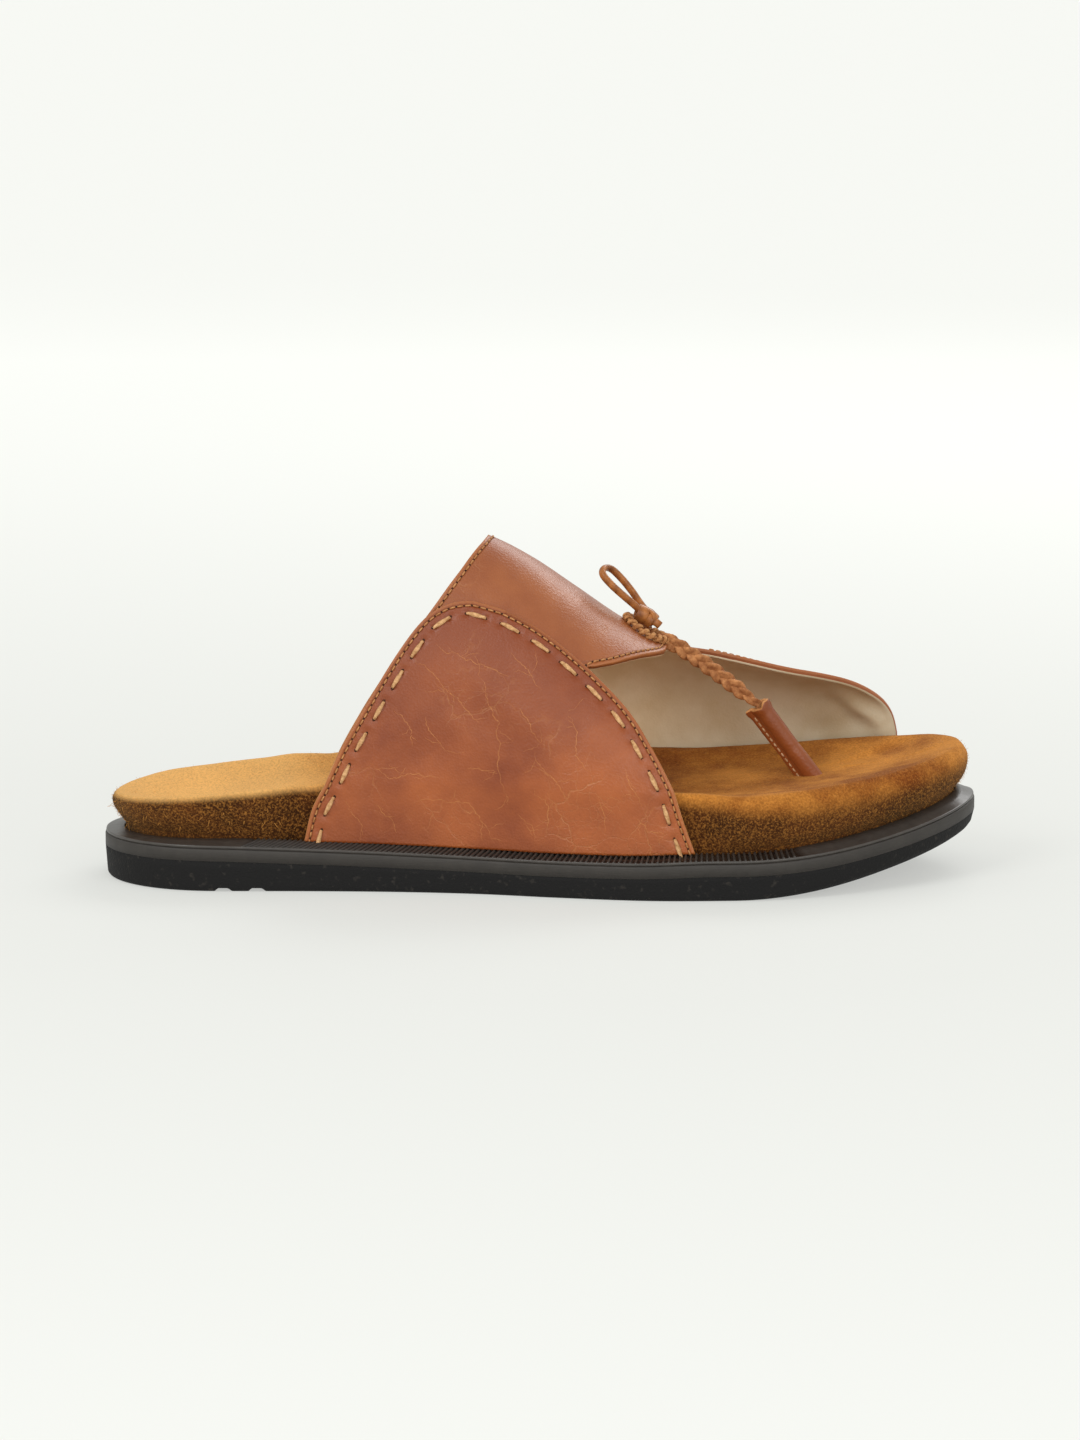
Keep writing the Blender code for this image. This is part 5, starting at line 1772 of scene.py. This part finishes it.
# The ring: a narrow leather lace whipped over and over round the edge of an oval slot in the vamp.
# It binds the slot, and the braid and the knot's lace come out of it.
RING_TUBE = 0.0012
RING_LIFT = 0.80
RING_LENGTH = 0.0138
RING_WIDTH = 0.0125
RING_SHARE = 0.624
RING_SPREAD = 1.45
WHIP_TURNS = 18
WHIP_CENTRE = 0.85  # the lace's middle as a share of the tube's radius
WHIP_HALF_WIDTH = 0.00074
WHIP_HALF_THICKNESS = 0.00046
CORE_RADIUS = 0.0006
ring_turn = np.linspace(0, 2 * math.pi, WHIP_TURNS * 16, endpoint=False)
ring_share = RING_SHARE + RING_LENGTH / 2 / SOLE_LENGTH * np.cos(ring_turn)
ring_u = 0.5 + RING_WIDTH / 2 / (BALL_WIDTH * RING_SPREAD) * np.sin(ring_turn)
ring_normal = upper_normal(ring_share, ring_u)
ring_centre = upper_surface(ring_share, ring_u) + ring_normal * (FIT_GAP + RING_TUBE * RING_LIFT)
ring_along = np.roll(ring_centre, -1, axis=0) - np.roll(ring_centre, 1, axis=0)
ring_along /= np.linalg.norm(ring_along, axis=1, keepdims=True)
ring_across = np.cross(ring_along, ring_normal)
whip = WHIP_TURNS * ring_turn
spoke = ring_across * np.cos(whip)[:, None] + ring_normal * np.sin(whip)[:, None]
whip_centre = ring_centre + spoke * (RING_TUBE * WHIP_CENTRE)
whip_along = np.roll(whip_centre, -1, axis=0) - np.roll(whip_centre, 1, axis=0)
whip_along /= np.linalg.norm(whip_along, axis=1, keepdims=True)
whip_broad = np.cross(spoke, whip_along)
turns = np.linspace(0, 2 * math.pi, 8, endpoint=False)
whip_rings = (
    whip_centre[:, None]
    + whip_broad[:, None] * (WHIP_HALF_WIDTH * np.cos(turns))[None, :, None]
    + spoke[:, None] * (WHIP_HALF_THICKNESS * np.sin(turns))[None, :, None]
)
core_rings = (
    ring_centre[::8, None]
    + ring_across[::8, None] * (CORE_RADIUS * np.cos(turns))[None, :, None]
    + ring_normal[::8, None] * (CORE_RADIUS * np.sin(turns))[None, :, None]
)
# The lace's raw edges turn outwards as it is whipped, so it is paler and rougher than the knot.
whipped_hide = plain_hide("whipped_lace_hide", "#cb9660", "#935b30", 0.75, 2.0, 0.8)
lace_ring = grid_piece("whipped_ring", whipped_hide, (whip_rings, True, True), (core_rings, True, True))
merge_close(lace_ring)
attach(lace_ring, "root")
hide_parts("lace_ring")

# The knot: a flat oiled leather lace turned three times round its own strands and pulled tight
# over the ring, with one short cut end left below.
KNOT_LIFT = 0.0051
KNOT_BANDS = (  # middle, tilt, radius, width, thickness and squash of each turn, the core last
    ((-0.0012, 0.0000, 0.0008), (0.0, 0.38, 0.12), 0.0026, 0.0040, 0.0012, 0.95),
    ((0.0018, 0.0000, -0.0010), (0.1, 0.72, -0.30), 0.0024, 0.0030, 0.0012, 0.95),
    ((0.0006, -0.0002, 0.0000), (0.2, 0.10, 0.95), 0.0030, 0.0022, 0.0011, 0.80),
    ((0.0002, 0.0000, -0.0002), (0.0, 0.45, 0.00), 0.0010, 0.0064, 0.0026, 1.00),
)
CUT_END = (  # the short end's middle line from the knot's centre
    (0.0, -0.001, 0.0),
    (0.0020, -0.0016, -0.0008),
    (0.0038, -0.0018, -0.0018),
    (0.0048, -0.0017, -0.0027),
)
LACE_DIAMETER = 0.0024
LOOP_PATH = (  # the loop's middle line from the knot's centre
    (-0.0008, -0.0014, 0.0014),
    (-0.0032, -0.0020, 0.0038),
    (-0.0068, -0.0030, 0.0070),
    (-0.0109, -0.0036, 0.0108),
    (-0.0137, -0.0022, 0.0140),
    (-0.0134, 0.0006, 0.0157),
    (-0.0109, 0.0034, 0.0151),
    (-0.0075, 0.0042, 0.0118),
    (-0.0042, 0.0036, 0.0078),
    (-0.0018, 0.0024, 0.0044),
    (0.0004, 0.0014, 0.0016),
)
knot_centre = np.array(upper_surface(np.array(RING_SHARE), np.array(0.5))) + np.array([0, 0, KNOT_LIFT])
# Lace leather soaked in oil: smooth and flexible, darker in its folds, with a soft gloss.
oiled_lace = plain_hide("oiled_lace_leather", "#aa6a34", "#6f3d1b", 0.36, 3.85, 0.25)


def knot_band(middle, tilt, reach, width, thickness, squash):
    """One turn of lace round the knot."""
    turns = np.linspace(0, 2 * math.pi, 49)[:-1]
    tilted = Euler(tilt).to_matrix()
    circle = [tilted @ Vector((0, reach * math.cos(a), reach * squash * math.sin(a))) for a in turns]
    axis = np.array(tilted @ Vector((1, 0, 0)))
    centres = knot_centre + np.array(middle) + np.array(circle)
    outward = np.array(circle) / np.linalg.norm(np.array(circle), axis=1, keepdims=True)
    section = np.linspace(0, 2 * math.pi, 16, endpoint=False)
    across_band = np.sign(np.cos(section)) * np.abs(np.cos(section)) ** 0.6
    through_band = np.sign(np.sin(section)) * np.abs(np.sin(section)) ** 0.6
    rings = centres[:, None] + axis[None, None] * (width / 2 * across_band)[None, :, None]
    return rings + outward[:, None] * (thickness / 2 * through_band)[None, :, None]


knot_points, knot_faces = [], []
for row in KNOT_BANDS:
    band = knot_band(*row)
    knot_faces += [tuple(f) for f in grid_faces(len(band), 16, True, True, sum(len(p) for p in knot_points))]
    knot_points.append(band.reshape(-1, 3))
end_path = knot_centre + np.array(CUT_END)
end_rings = swept(end_path, np.tile([0.3, 0.2, 0.9], (len(CUT_END), 1)), 0.0013, 0.0009)
knot_faces += strap_faces(len(end_rings), 12, sum(len(p) for p in knot_points))
knot_points.append(end_rings.reshape(-1, 3))
knot = new_piece("lace_knot_turns", np.concatenate(knot_points), knot_faces, oiled_lace)
merge_close(knot)
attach(knot, "root")
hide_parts("lace_knot")

# The loop: 44 mm of the same lace that stands out of the knot and goes back into it. It is rolled
# nearly round, and its own stiffness holds it up.
loop_corners = knot_centre + np.array(LOOP_PATH)
loop_table = [(i, *corner) for i, corner in enumerate(loop_corners)]
loop_at = np.linspace(0, len(loop_corners) - 1, 90)
loop_route = np.stack([read(loop_table, loop_at, k) for k in (1, 2, 3)], -1)
loop_broad = np.cross(np.gradient(loop_route, axis=0), loop_route - loop_route.mean(axis=0))
loop_rings = swept(loop_route, loop_broad, LACE_DIAMETER / 2, LACE_DIAMETER / 2 * 0.8, steps=16, square=0.85)
loop = new_piece("lace_loop_strand", loop_rings, strap_faces(len(loop_rings), 16), oiled_lace)
merge_close(loop)
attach(loop, "root")
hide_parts("lace_loop")
